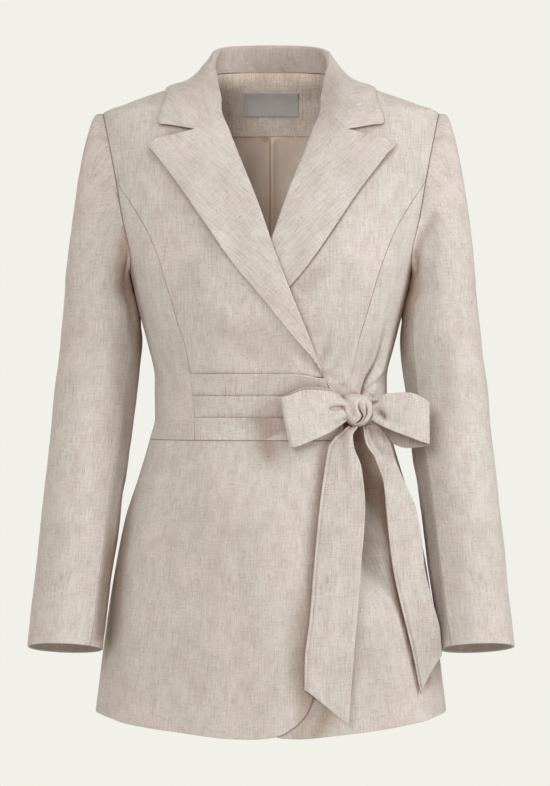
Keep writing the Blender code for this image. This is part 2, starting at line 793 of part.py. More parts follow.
def sleeve():
    """The whole sleeve: rows down the arm, columns round it from its top by the front."""
    angles = sleeve_angles()
    start, end = armhole_loop(), sleeve_ring(SLEEVE_RINGS[0], angles)
    off_top = np.minimum(angles, 360 - angles)
    leave = np.stack([CAP.read(name, off_top) for name in ("out", "forward", "down")], -1)
    leave[:, 1] *= np.where(angles > 180, 1, -1)
    arrive = (start[:, 2:] - end[:, 2:]) * CAP_END
    t = np.array(CAP_SHARES)[:, None, None]
    cap = ((1 + 2 * t) * (1 - t) ** 2 * start + t * (1 - t) ** 2 * leave
           + t * t * (3 - 2 * t) * end + t * t * (t - 1) * arrive)
    head = SLEEVE_HEAD.read("across", cap[1:, :, 2]) - cap[1:, :, 0]
    cap[1:, :, 0] += head * bump(0, HEAD_WIDTH, off_top)
    rings = [sleeve_ring(height, angles)[None] for height in SLEEVE_RINGS]
    return np.concatenate([cap, *rings])


def sleeve_top(_layer):
    whole = sleeve()[:, :-1]
    columns = np.arange(SEAM_COLUMNS["back"] - whole.shape[1], SEAM_COLUMNS["front"] + 1)
    return whole[:, columns]


def sleeve_under(_layer):
    return sleeve()[:, SEAM_COLUMNS["front"]:SEAM_COLUMNS["back"] + 1]


# ---------------------------------------------------------------- tie

KNOT = {"x": 97.0, "y": -94.0, "z": -376.0, "wide": 29.0, "deep": 31.0, "tall": 36.0,
        "taper": 0.25, "groove": 0.12, "groove_width": 0.1, "groove_slant": 1.6}
KNOT_SEGMENTS = (14, 9)
STRAP = {"bottom": -386.0, "top": -345.0, "knot_bottom": (82.8, -91, -384),
         "knot_top": (82.8, -92, -366)}
STRAP_STEPS = 3
# Each loop goes out from the knot, folds at its end and comes back behind itself
LOOP_RIGHT = Table(
    "along x y top bottom",
    (0.0, 83.6, -104, -365, -388),
    (0.15, 66, -117, -355, -399),
    (0.32, 40, -127, -353, -405),
    (0.46, 13, -130, -361, -411),
    (0.5, 9.5, -126, -361, -411),
    (0.54, 13, -121.5, -360, -410),
    (0.68, 40, -117.5, -350, -402),
    (0.85, 66, -110.5, -353, -396),
    (1.0, 82.9, -98, -366, -387),
)
LOOP_LEFT = Table(
    "along x y top bottom",
    (0.0, 110.8, -103, -364, -387),
    (0.15, 128, -110, -357, -396),
    (0.32, 150, -110, -356, -404),
    (0.46, 171, -104, -364, -411),
    (0.5, 174.5, -98, -367, -412),
    (0.54, 171, -91, -364, -414),
    (0.68, 150, -85, -357, -417),
    (0.85, 128, -86, -358, -409),
    (1.0, 111.3, -93, -366, -390),
)
LOOP_STEPS = 16
LOOP_ROWS = 3

# Each tail: its edges towards the wearer's right and left, how far it stands off the form there,
# and how far its left edge is turned back behind the right one
TAIL_RIGHT = Table(
    "height right left stand turn",
    (-716, 36, 84, 3.5, 0),
    (-650, 36.5, 89, 3.5, 0),
    (-600, 42, 93.5, 3.5, 0),
    (-545, 46.5, 98, 4, 2),
    (-480, 53, 102.5, 5, 2),
    (-437, 59, 98.5, 6, 0),
    (-415, 63, 91, 8, 0),
    (-403, 72, 90, 9, 0),
    (-393.5, 85, 95, 9, 0),
)
TAIL_LEFT = Table(
    "height right left stand turn",
    (-690, 166, 190, 6, 0),
    (-647, 157, 189, 6, 0),
    (-620, 150.5, 187.5, 6, 4),
    (-588, 142.5, 179.5, 6, 9),
    (-550, 134.5, 171, 6, 16),
    (-520, 130.5, 168, 6, 17),
    (-484, 127, 158, 7, 15),
    (-457, 124.5, 145, 8, 12),
    (-428, 113, 132.5, 8, 8),
    (-410, 103, 128, 12, 5),
    (-392.4, 101, 116, 19, 0),
)
TAIL_RIGHT_ENDS = (-677, -716)  # heights of the tail's right and left corners
TAIL_LEFT_ENDS = (-690, -647)
TAIL_COLUMNS = 4
TAIL_ROWS = 12


def tie_strap():
    """From the free edge of the right front to the knot."""
    heights = np.linspace(STRAP["bottom"], STRAP["top"], STRAP_STEPS + 1)
    edge = front(WRAP_EDGE.seam("right", heights), WRAP_LAYER) * (-1, 1, 1)
    edge = edge + (SEAM_GAP, 0, 0)
    end = straight(STRAP["knot_bottom"], STRAP["knot_top"], STRAP_STEPS)
    share = np.linspace(0, 1, STRAP_STEPS + 1)[None, :, None]
    return edge[:, None] * (1 - share) + end[:, None] * share


def bow_loop(table):
    along = np.linspace(0, 1, LOOP_STEPS + 1)
    x, y = table.read("x", along), table.read("y", along)
    high, low = table.read("top", along), table.read("bottom", along)
    share = np.linspace(0, 1, LOOP_ROWS + 1)[:, None]
    z = low * (1 - share) + high * share
    return np.stack([x + 0 * z, y + 0 * z, z], -1)


def knot(finish):
    """A squashed ball with the groove of its crossing strap."""
    ball = bmesh.new()
    around_it, along_it = KNOT_SEGMENTS
    bmesh.ops.create_uvsphere(ball, u_segments=around_it, v_segments=along_it, radius=0.5)
    for vertex in ball.verts:
        x, y, z = vertex.co
        crossing = bump(0, KNOT["groove_width"], x * KNOT["groove_slant"] + z)
        groove = 1 - KNOT["groove"] * crossing * (y < 0)
        vertex.co = (
            (KNOT["x"] + KNOT["wide"] * x * groove) * MM,
            (KNOT["y"] + KNOT["deep"] * y * groove) * MM,
            (KNOT["z"] + KNOT["tall"] * z * (1 - KNOT["taper"] * x)) * MM,
        )
    add_piece("knot", ball, finish)


def tail(table, ends, layer, lies):
    """Hangs from the knot in front of the skirt. One that lies on it stays clear all across."""
    top = table.rows[-1, 0]
    share = np.linspace(0, 1, TAIL_COLUMNS + 1)
    low = ends[0] * (1 - share) + ends[1] * share
    z = low + (top - low) * np.linspace(0, 1, TAIL_ROWS + 1)[:, None]
    right, left = table.read("right", z), table.read("left", z)
    x = right * (1 - share) + left * share
    y = on_front(right, z) - layer - table.read("stand", z) + share * table.read("turn", z)
    if lies:
        y = np.minimum(y, on_front(x, z) - layer - TIE_LIFT)
    return np.stack([x, y, z], -1)


# ---------------------------------------------------------------- the garment


def material(name, colour, roughness, sheen):
    made = bpy.data.materials.new(name)
    made.use_nodes = True
    shader = made.node_tree.nodes["Principled BSDF"]
    shader.inputs["Base Color"].default_value = (*colour, 1)
    shader.inputs["Roughness"].default_value = roughness
    shader.inputs["Metallic"].default_value = 0
    shader.inputs["Sheen Weight"].default_value = sheen
    made.diffuse_color = (*colour, 1)
    return made


def build():
    for old in list(bpy.data.objects):
        bpy.data.objects.remove(old, do_unlink=True)
    bpy.context.scene.collection.children.link(bpy.data.collections.new(COLLECTION))
    linen = material("slub_linen", (0.66, 0.58, 0.50), 0.9, 0.2)
    satin = material("lining_satin", (0.52, 0.42, 0.34), 0.45, 0.1)
    woven = material("label_weave", (0.42, 0.40, 0.38), 0.7, 0.0)

    for name, make, gap in (
        ("front", front_panel, SEAM_GAP),
        ("side", side_panel, SEAM_GAP),
        ("back", back_panel, SEAM_GAP),
        ("skirt_front", skirt_front, SEAM_GAP),
        ("skirt_back", skirt_back, SEAM_GAP),
        ("lapel", lapel, SEAM_GAP),
        ("sleeve_top", sleeve_top, SLEEVE_SEAM_GAP),
        ("sleeve_under", sleeve_under, SLEEVE_SEAM_GAP),
    ):
        pair(name, make, LINEN, linen, gap)
    for number in range(PLEATS):
        cloth(f"pleat_{number + 1}", mirrored(trimmed(pleat(number))), LINEN, linen)
    cloth("collar_stand", trimmed(collar_stand()), LINEN, linen)
    cloth("collar_fall", trimmed(collar_fall()), LINEN, linen)
    cloth("neck_facing", trimmed(neck_facing()), LINING_WALL, linen)
    cloth("neck_label", neck_label(), LABEL_WALL, woven)
    cloth("lining_back", trimmed(lining_back()), LINING_WALL, satin)
    cloth("tie_strap", tie_strap(), TIE_WALL, linen)
    cloth("bow_loop_right", bow_loop(LOOP_RIGHT), TIE_WALL, linen)
    cloth("bow_loop_left", bow_loop(LOOP_LEFT), TIE_WALL, linen)
    cloth("tail_right", tail(TAIL_RIGHT, TAIL_RIGHT_ENDS, WRAP_LAYER, True), TIE_WALL, linen)
    cloth("tail_left", tail(TAIL_LEFT, TAIL_LEFT_ENDS, 0, False), TIE_WALL, linen)
    knot(linen)


build()
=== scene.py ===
"""Sizes are in millimetres and become metres when a mesh is made. +Z is up, the front faces -Y and
the wearer's right side is at -X. The pieces follow the seam lines and the form of the part's own
solids, at a finer step, with rolled edges, creases and weave. `across` is measured on the wearer's
left side, where it is +X, and is mirrored for the right.
"""

import math

import bpy
import numpy as np
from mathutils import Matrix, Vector
from mathutils.bvhtree import BVHTree


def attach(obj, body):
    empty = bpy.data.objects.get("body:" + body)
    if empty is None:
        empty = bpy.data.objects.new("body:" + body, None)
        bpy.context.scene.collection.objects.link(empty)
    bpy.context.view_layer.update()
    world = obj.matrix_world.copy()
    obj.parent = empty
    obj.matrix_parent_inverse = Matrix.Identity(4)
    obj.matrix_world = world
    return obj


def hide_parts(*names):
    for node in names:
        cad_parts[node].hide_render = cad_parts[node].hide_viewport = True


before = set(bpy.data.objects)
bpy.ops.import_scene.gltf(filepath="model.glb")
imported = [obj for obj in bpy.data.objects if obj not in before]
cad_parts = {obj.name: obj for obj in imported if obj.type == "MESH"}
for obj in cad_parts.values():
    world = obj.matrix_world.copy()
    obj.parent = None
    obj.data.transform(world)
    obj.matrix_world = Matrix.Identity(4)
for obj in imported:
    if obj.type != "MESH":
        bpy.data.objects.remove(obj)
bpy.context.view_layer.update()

MM = 0.001
BODY = "root"

# Walls and clearances
CLOTH = 1.6
LAPEL_CLOTH = 1.9
TIE_CLOTH = 1.9
LINING_CLOTH = 0.8
LABEL_CLOTH = 0.8
SEAM_GAP = 0.25
WRAP_LAYER = 7.5  # how far the right front stands in front of the left one
WRAP_ACROSS = (-115, -65)  # from far out to where the whole layer is reached, as -across
WRAP_DOWN = (90, 170)  # the same down the front, as -height
WRAP_FORWARD = 40  # depth in front of the middle at which it reaches the side pieces in full
LAPEL_LIFT = 3.8  # of a lapel's face off the chest
COLLAR_LIFT = 4.6
COLLAR_EDGE_LIFT = 3.4
SHOULDER_TRIM = 0.3
LINING_INSET = 6.6  # from a back's outer face to the face of the lining that shows
LABEL_INSET = 8.4
TIE_LIFT = 3.6

# Heights
NECK_BACK = 16.0
NECK_SIDE = 1.0
SHOULDER = -38.5
SHOULDER_TIP = 191.0  # across, at that height
JOIN = -120.0  # where the princess seams run into the armhole
ARMPIT = -222.0
BREAK = -334.0  # lowest point of the lapel's fold
PLEAT_TOP = -336.0
WAIST = -409.0
LINING_END = -404.0
CUFF = -641.0
SKIRT_END = -745.0

# Steps along each seam that two pieces share
PLEAT_STEPS = 36
PRINCESS_STEPS = 78
ARMHOLE_STEPS = 44
UNDERARM_STEPS = 40
ROLL_STEPS = 100
NECK_FRONT_STEPS = 22
NECK_BACK_STEPS = 30
SHOULDER_STEPS = 76
GORGE_STEPS = 10
# How much closer together the steps of a seam lie near its end
ARMHOLE_CROWD = 1.4
NECK_FRONT_CROWD = 1.6
NECK_BACK_CROWD = 1.5
CENTRE_BACK_CROWD = 1.3
REST_CROWD = 1.6

PLEATS = 3
PLEAT_UNDERLAP = 4.0
PLEAT_LIFT = 4.0


# ---- tables and patches


def smooth(xs, ys, x):
    """A curve through the points (xs, ys) that never overshoots them, read at x."""
    x = np.clip(np.asarray(x, float), xs[0], xs[-1])
    width = np.diff(xs)
    slope = np.diff(ys) / width
    same_way = slope[:-1] * slope[1:] > 0
    total = np.where(same_way, slope[:-1] + slope[1:], 1)
    middle = np.where(same_way, 2 * slope[:-1] * slope[1:] / total, 0)
    tangent = np.concatenate([slope[:1], middle, slope[-1:]])
    i = np.clip(np.searchsorted(xs, x, side="right") - 1, 0, len(width) - 1)
    t = (x - xs[i]) / width[i]
    start = (1 + 2 * t) * (1 - t) ** 2 * ys[i] + t * (1 - t) ** 2 * width[i] * tangent[i]
    end = t * t * (3 - 2 * t) * ys[i + 1] + t * t * (t - 1) * width[i] * tangent[i + 1]
    return start + end


class Table:
    """Rows of sizes with named columns, read smoothly by the first column."""

    def __init__(self, columns, *rows):
        self.names = columns.split()
        self.rows = np.array(sorted(rows), float)

    def read(self, column, at):
        return smooth(self.rows[:, 0], self.rows[:, self.names.index(column)], at)

    def seam(self, column, heights):
        """Points (across, height) of the line that a column gives."""
        return np.stack([self.read(column, heights), heights], -1)


def ramp(low, high, x):
    """0 up to low, 1 from high on, and smooth between them."""
    t = np.clip((np.asarray(x, float) - low) / (high - low), 0, 1)
    return t * t * (3 - 2 * t)


def bump(centre, width, x):
    return np.exp(-(((np.asarray(x, float) - centre) / width) ** 2))


def straight(start, end, steps):
    share = np.linspace(0, 1, steps + 1)[:, None]
    return np.asarray(start, float) * (1 - share) + np.asarray(end, float) * share


def crowded(start, end, steps, power=2.0):
    """Numbers from start to end, closer together near the end."""
    return start + (end - start) * (1 - (1 - np.linspace(0, 1, steps + 1)) ** power)


def chain(*runs):
    """Lines end to end as one, each without the point that it shares with the one before."""
    return np.concatenate([runs[0], *[run[1:] for run in runs[1:]]])


def patch(bottom, right, top, left):
    """The grid that fills four lines: bottom and top run left to right, the others upwards."""
    u = np.linspace(0, 1, len(bottom))[None, :, None]
    v = np.linspace(0, 1, len(left))[:, None, None]
    low, high, west, east = bottom[None], top[None], left[:, None], right[:, None]
    corners = (1 - v) * ((1 - u) * low[:, :1] + u * low[:, -1:])
    corners = corners + v * ((1 - u) * high[:, :1] + u * high[:, -1:])
    return (1 - v) * low + v * high + (1 - u) * west + u * east - corners


def ruled(bottom, top, rows):
    """The grid between two lines, with straight sides."""
    right, left = straight(bottom[-1], top[-1], rows), straight(bottom[0], top[0], rows)
    return patch(bottom, right, top, left)


# ---- the general figure

FORM = Table(
    "height half_width front back square",
    (60, 61, 44, 57, 2.0),
    (46, 62, 42, 58, 2.0),
    (16, 66, 40, 62, 2.0),
    (8, 71, 40, 63, 2.0),
    (NECK_SIDE, 81, 41, 66, 2.0),
    (-4, 94, 42, 69, 2.1),
    (-9, 110, 44, 73, 2.2),
    (-18.5, 139, 48, 79, 2.35),
    (-28.5, 166, 52, 84, 2.5),
    (SHOULDER, SHOULDER_TIP, 57, 88, 2.6),
    (-80, 188, 76, 99, 2.8),
    (JOIN, 184, 96, 105, 2.8),
    (-160, 176, 111, 106, 2.65),
    (-200, 166, 121, 104, 2.45),
    (ARMPIT, 160, 124, 102, 2.35),
    (-260, 151, 122, 98, 2.25),
    (-300, 141, 114, 92, 2.2),
    (-342, 132, 105, 87, 2.15),
    (-383, 132, 102, 87, 2.15),
    (WAIST, 138, 105, 91, 2.15),
    (-450, 150, 113, 101, 2.15),
    (-500, 166, 122, 112, 2.1),
    (-560, 178, 130, 122, 2.1),
    (-640, 190, 136, 130, 2.1),
    (SKIRT_END, 203, 142, 136, 2.1),
)
BUST = {"across": 84, "height": -200, "wide": 52, "tall": 62, "rise": 7, "rim": 0.35}


def ring(height):
    """The form's level section at a height: its half width, depth to the front and back, and squareness."""
    return [FORM.read(name, height) for name in ("half_width", "front", "back", "square")]


def inside(across, height):
    half, _, _, square = ring(height)
    return np.clip(1 - np.abs(across / half) ** square, 0, 1)


def bust(across, height):
    """Fullness that the cut gives the front over each side of the chest."""
    near = bump(BUST["across"], BUST["wide"], np.abs(across))
    swell = BUST["rise"] * near * bump(BUST["height"], BUST["tall"], height)
    return swell * ramp(0, BUST["rim"], inside(across, height))


def on_front(across, height):
    _, front, _, square = ring(height)
    return -front * inside(across, height) ** (1 / square) - bust(across, height)


def on_back(across, height):
    _, _, back, square = ring(height)
    return back * inside(across, height) ** (1 / square)


def angle_of(plane, behind=False):
    """(angle, height) of points (across, height): 0 is the centre front, 90 the side."""
    across, height = plane[..., 0], plane[..., 1]
    _, front, back, square = ring(height)
    depth = inside(across, height) ** (1 / square)
    y = depth * back if behind else -depth * front
    return np.stack([np.degrees(np.arctan2(across, -y)), height], -1)


def around(polar, out=0.0):
    """Points of the form at (angle, height), moved out level by `out`."""
    angle, height = polar[..., 0], polar[..., 1]
    half, front, back, square = ring(height)
    side, forward = np.sin(np.radians(angle)), np.cos(np.radians(angle))
    depth = np.where(forward >= 0, front, back)
    reach = (np.abs(side / half) ** square + np.abs(forward / depth) ** square) ** (-1 / square)
    x = reach * side
    swell = np.where(forward > 0, bust(x, height), 0)
    return np.stack([x + out * side, -reach * forward - swell - out * forward, height + 0 * x], -1)


# ---- seam lines

SEAMS = Table(
    "height princess back_princess",
    (WAIST, 84, 70),
    (-381, 84.5, 68),
    (-353, 87, 69),
    (-305, 95, 77),
    (-277, 104, 85),
    (-239, 115, 99),
    (-202, 126.5, 114),
    (-178, 137, 127),
    (-143, 158, 152),
    (JOIN, 173.5, 173.5),
)
ARMHOLE = Table(
    "height across",
    (ARMPIT, 160),
    (-215, 157.8),
    (-207, 157.5),
    (-162, 166),
    (JOIN, 173.5),
    (-78, 182),
    (SHOULDER, SHOULDER_TIP),
)
# The fold of a lapel, how far it lies behind the chest, and the lapel's free edge
LAPEL = Table(
    "height fold dip edge",
    (NECK_SIDE, 57, 0, 137),
    (-36, 57, 20, 137),
    (-67, 46, 12, 137),
    (-80, 41, 9, 137),
    (-97, 34.5, 6, 125),
    (-137, 18.5, 1.5, 95),
    (-181, 3, 0, 66),
    (-210, -7.5, 0, 46),
    (-252, -24, 0, 11),
    (-297, -42, 0, -26),
    (-328, -54, 0, -52),
    (BREAK - 5, -60, 0, -57),
)
LAPEL_START = -331.0
LAPEL_TOE = (5, 4)  # from the start of a lapel's fold to the start of its free edge
ROLL_WIDTH = 42.0  # over which the chest bends back to the fold
GORGE = (57, -36)
NOTCH = (85, -65)
LAPEL_TIP = (137, -80)
COLLAR_POINT = (123, -55.5)
NECK_POINT = (81, NECK_SIDE)
NECK = Table("across front back", (0, -60, 16), (25, -57, 15.6), (45, -46, 13.8), (57, -36, 11.8),
             (62, -29, 10.4), (70, -18, 7.2), (76, -9.5, 3.8), (80, -2, 1.5), (81, NECK_SIDE, NECK_SIDE))
SHOULDER_LINE = Table("across height", (81, NECK_SIDE), (94, -4), (110, -9), (139, -18.5), (166, -28.5),
                      (SHOULDER_TIP, SHOULDER))


def seam_heights():
    """Heights of the points on the princess seams, from the waist to the armhole."""
    pleats = np.linspace(WAIST, PLEAT_TOP - PLEAT_UNDERLAP / 2, PLEAT_STEPS + 1)
    return chain(pleats, np.linspace(pleats[-1], JOIN, PRINCESS_STEPS + 1))


def armhole_top():
    return ARMHOLE.seam("across", crowded(JOIN, SHOULDER, ARMHOLE_STEPS, ARMHOLE_CROWD))


def armhole_low():
    """From the princess seam down to the underarm."""
    return ARMHOLE.seam("across", crowded(JOIN, ARMPIT, UNDERARM_STEPS))


def shoulder_line():
    across = np.linspace(NECK_POINT[0], SHOULDER_TIP, SHOULDER_STEPS + 1)
    return np.stack([across, SHOULDER_LINE.read("height", across)], -1)


def neck_front():
    across = crowded(GORGE[0], NECK_POINT[0], NECK_FRONT_STEPS, NECK_FRONT_CROWD)
    return np.stack([across, NECK.read("front", across)], -1)


def neck_back():
    across = crowded(0, NECK_POINT[0], NECK_BACK_STEPS, NECK_BACK_CROWD)
    return np.stack([across, NECK.read("back", across)], -1)


def fold_line(start=BREAK):
    return LAPEL.seam("fold", np.linspace(start, GORGE[1], ROLL_STEPS + 1))


def wrapping(across, height):
    """Share of the wrap's layer that a point of the right side stands out by."""
    return ramp(*WRAP_ACROSS, -np.asarray(across)) * ramp(*WRAP_DOWN, -np.asarray(height))


def front(plane, layer=0.0):
    """Points of a front's outer face, which bends back to the fold of its lapel."""
    across, height = plane[..., 0], plane[..., 1]
    away = np.clip((across - LAPEL.read("fold", height)) / ROLL_WIDTH, 0, 1)
    bend = LAPEL.read("dip", height) * (1 - away) ** 2
    y = on_front(across, height) + bend - layer * wrapping(across, height)
    return np.stack([across, y, height], -1)


def back(plane):
    across, height = plane[..., 0], plane[..., 1]
    return np.stack([across, on_back(across, height), height], -1)


def wrapped(points, layer):
    """Points on the side or skirt, moved out as far as the wrap moves them."""
    out = points.copy()
    forward = ramp(0, WRAP_FORWARD, -points[..., 1])
    out[..., 1] -= layer * wrapping(points[..., 0], points[..., 2]) * forward
    return out


def unit(vectors):
    return vectors / np.maximum(np.linalg.norm(vectors, axis=-1, keepdims=True), 1e-9)


def outward(points):
    """Unit normals of a grid, on the side from which its rows read left to right."""
    return unit(np.cross(np.gradient(points, axis=1), np.gradient(points, axis=0)))


def moved(points, distance):
    return points + outward(points) * np.asarray(distance, float)[..., None]


def mirrored(points):
    """The grid on the other side of the body, still read from outside."""
    return points[:, ::-1] * (-1, 1, 1)


def between(points, known, at):
    """The line that runs through `points` at the values `known`, read at other values."""
    return np.stack([smooth(known, points[:, k], at) for k in range(points.shape[1])], -1)


def fine(points, steps):
    """The line through the points, cut into other steps."""
    return between(points, np.arange(len(points)), np.linspace(0, len(points) - 1, steps + 1))


# ---- creases

WANDER_WAVES = 9
WANDER_PITCH = (0.7, 1.7)  # length of those waves, as shares of the size asked for
RIPPLE = {"share": 0.2, "finer": 4, "seed": 50}  # a second, smaller unevenness over the first
STROKE_STEPS = 3  # straight bits to each point of a path


def wander(plane, size, seed):
    """Smooth unevenness between about -1 and 1, with hills about `size` apart."""
    draw = np.random.default_rng(seed)
    total = np.zeros(plane.shape[:-1])
    for _ in range(WANDER_WAVES):
        way, phase = draw.uniform(0, 2 * math.pi, 2)
        pitch = size * draw.uniform(*WANDER_PITCH)
        along = plane[..., 0] * math.cos(way) + plane[..., 1] * math.sin(way)
        total += np.sin(along * 2 * math.pi / pitch + phase)
    return total / WANDER_WAVES * 2


def stroke(plane, path):
    """Each point's signed distance from a path, and its share of the way along it."""
    path = fine(path, STROKE_STEPS * len(path))
    steps = np.linalg.norm(np.diff(path, axis=0), axis=1)
    travelled = np.concatenate([[0], np.cumsum(steps)])
    nearest = np.full(plane.shape[:-1], np.inf)
    share = np.zeros(plane.shape[:-1])
    for k, (start, end) in enumerate(zip(path[:-1], path[1:])):
        way = (end - start) / steps[k]
        off = plane - start
        t = np.clip(off @ way, 0, steps[k])
        square = off - t[..., None] * way
        away = np.linalg.norm(square, axis=-1)
        closer = away < np.abs(nearest)
        side = np.where(way[0] * off[..., 1] - way[1] * off[..., 0] > 0, 1, -1)
        nearest = np.where(closer, away * side, nearest)
        share = np.where(closer, (travelled[k] + t) / travelled[-1], share)
    return nearest, share


def fold(plane, rise, left, right, fade_in, fade_out, *path):
    """A ridge, or a trough if `rise` is negative, as wide as `left` and `right` beside its path.

    `path` gives its points, two numbers each. It fades over a share of its length at each end.
    """
    away, share = stroke(plane, np.reshape(path, (-1, 2)))
    width = np.where(away > 0, left, right)
    ends = ramp(0, fade_in, share) * ramp(0, fade_out, 1 - share)
    return rise * np.exp(-((away / width) ** 2)) * ends


def creased(plane, folds, size=70.0, rough=0.45, seed=1, still=1.0):
    """The relief of a piece: its own folds, on cloth that is nowhere quite even.

    `still` is 0 where the cloth is held and lies even.
    """
    ripple = wander(plane, size / RIPPLE["finer"], seed + RIPPLE["seed"])
    relief = (rough * wander(plane, size, seed) + RIPPLE["share"] * rough * ripple) * still
    for each in folds:
        relief = relief + fold(plane, *each)
    return relief


def cast_shade(name, points):
    """How deep in painted shade a piece lies, seen from the front: neighbours' shadows and sides turned
    from the lamps.
    """
    deep = np.zeros(points.shape[:-1])
    for each in SHADES.get(name, ()):
        deep = np.maximum(deep, fold(points[..., (0, 2)], *each))
    return deep * ramp(*SHADES_FACE, -points[..., 1])


# ---- shells

SIDES = ("left", "right", "bottom", "top")
SEAM, SOFT, FREE, PLAIN, TUCKED = "seam", "soft", "free", "plain", "tucked"  # kinds of edge
GAPS = {SEAM: SEAM_GAP / 2, SOFT: SEAM_GAP / 2, FREE: 0.0, PLAIN: 0.0, TUCKED: 2.2}
EDGE_SHARES = (0.08, 0.25, 0.55)  # of an edge's first step, where narrow rows are added
SEAM_DROPS = {SEAM: 0.6, SOFT: 0.2}
SEAM_ROLL = 1.6
SEAM_PAINTED_SHADE = {SEAM: 0.42, SOFT: 0.36}  # how deep the shade painted along each kind of seam's groove is
SEAM_LINE_REACH = 0.9
FREE_ROLL = (0.42, 0.8)  # depth and width of a free edge's rounding, as shares of its wall
STILL_REACH = 14.0  # from a seam, over which the cloth becomes even
SEWN_REACH = 5.0  # from a seam, over which a fold ends
CRISP = 42.0  # degrees between two faces that meet in a sharp edge
SHADE_FROM = (1.5, 8.0)  # depth of a fold where its shade begins, and is full
SHADE_MOST = 0.42


def tightened(grid):
    """The grid with narrow rows added beside each edge, where the cloth rolls."""
    for axis in (0, 1):
        first, second = np.take(grid, 0, axis), np.take(grid, 1, axis)
        before, last = np.take(grid, -2, axis), np.take(grid, -1, axis)
        head = [first + (second - first) * share for share in EDGE_SHARES]
        tail = [last + (before - last) * share for share in EDGE_SHARES[::-1]]
        middle = np.take(grid, np.arange(1, grid.shape[axis] - 1), axis)
        parts = [np.stack([first, *head], axis), middle, np.stack([*tail, last], axis)]
        grid = np.concatenate(parts, axis)
    return grid


def from_edges(points):
    """Distance along the cloth from its left, right, bottom and top edge."""
    right = np.linalg.norm(np.diff(points, axis=1), axis=-1)
    up = np.linalg.norm(np.diff(points, axis=0), axis=-1)
    across = np.concatenate([np.zeros((len(points), 1)), np.cumsum(right, axis=1)], axis=1)
    above = np.concatenate([np.zeros((1, points.shape[1])), np.cumsum(up, axis=0)], axis=0)
    return {"left": across, "right": across[:, -1:] - across, "bottom": above, "top": above[-1:] - above}


def held(points, sides, reach):
    """0 at the named edges, where a seam holds the cloth, and 1 further in than `reach`."""
    away = from_edges(points)
    return np.prod([ramp(0, reach, away[side]) for side in sides], axis=0)


def rolled(away, depth, radius):
    """How far a rounded edge drops, at a distance from it."""
    t = np.clip(1 - away / radius, 0, 1)
    return depth * (1 - np.sqrt(1 - t * t))


def trimmed(points, gaps):
    """The grid with edges drawn in square to themselves, each by its own gap."""
    places = {"left": (np.s_[:, 0], np.s_[:, 1]), "right": (np.s_[:, -1], np.s_[:, -2]),
              "bottom": (np.s_[0], np.s_[1]), "top": (np.s_[-1], np.s_[-2])}
    shift = np.zeros_like(points)
    for side, (edge, inner) in places.items():
        along = unit(np.gradient(points[edge], axis=0))
        way = points[inner] - points[edge]
        square = way - along * np.sum(way * along, axis=-1, keepdims=True)
        shift[edge] += gaps[side] * unit(square)
    return points + shift


def grid_faces(rows, columns):
    """The corners of each square of a grid, in turn."""
    index = np.arange(rows * columns).reshape(rows, columns)
    quads = np.stack([index[:-1, :-1], index[:-1, 1:], index[1:, 1:], index[1:, :-1]], -1)
    return index, quads.reshape(-1, 4)


def shell(name, points, plane, relief, wall, look, edges, turn=0.0, mirror=False, nodes=None,
          shown=1.0, shade=0.0, inner_shade=0.0):
    """A piece of cloth on a grid of points. `edges` says how its left, right, bottom and top end.

    `shown` is how much of those edges' rounding shows, 0 to 1, at each point, and `shade` how
    deep in the shade of a fold the point lies. `inner_shade` is the same for the whole inner face.
    """
    sides = dict(zip(SIDES, edges))
    gaps = {side: GAPS[kind] for side, kind in sides.items()}
    face = points + outward(points) * relief[..., None]
    shown = np.broadcast_to(shown, plane.shape[:-1])[..., None]
    shade = np.maximum(shade, SHADE_MOST * ramp(*SHADE_FROM, -relief))
    shade = np.maximum(shade, cast_shade(name, points))[..., None]
    face = face + (trimmed(face, gaps) - face) * shown
    grid = tightened(np.concatenate([face, plane, shown, shade], axis=-1))
    face, plane, shown, shade = grid[..., :3], grid[..., 3:5], grid[..., 5], grid[..., 6]
    away = from_edges(face)
    drop, lift = np.zeros(face.shape[:2]), np.zeros(face.shape[:2])
    for side, kind in sides.items():
        if kind in SEAM_DROPS:
            drop = np.maximum(drop, rolled(away[side], SEAM_DROPS[kind], SEAM_ROLL))
            # Painted shade along the seam's groove
            line = SEAM_PAINTED_SHADE[kind] * ramp(0, 1, 1 - away[side] / SEAM_LINE_REACH) * shown
            shade = np.maximum(shade, line)
        if kind == FREE:
            half = rolled(away[side], *(share * wall for share in FREE_ROLL))
            drop, lift = np.maximum(drop, half), np.maximum(lift, half)
    normal = outward(face)
    outer = face - normal * (drop * shown)[..., None]
    inner = face - normal * (wall - lift * shown)[..., None]
    if mirror:
        outer, inner, plane, shade = mirrored(outer), mirrored(inner), plane[:, ::-1], shade[:, ::-1]
    index, quads = grid_faces(*outer.shape[:2])
    rim = np.concatenate([index[0, :-1], index[:-1, -1], index[-1, :0:-1], index[:0:-1, 0]])
    after = np.roll(rim, -1)
    below = index.size
    rim_quads = np.stack([rim, rim + below, after + below, after], -1)
    faces = np.concatenate([quads, quads[:, ::-1] + below, rim_quads])
    verts = np.concatenate([outer.reshape(-1, 3), inner.reshape(-1, 3)])
    grain = np.concatenate([plane.reshape(-1, 2)] * 2)
    shade = np.concatenate([shade.ravel(), 0 * shade.ravel() + inner_shade])
    mesh_piece(name, verts, faces.tolist(), grain, turn, look, nodes or [name], shade)


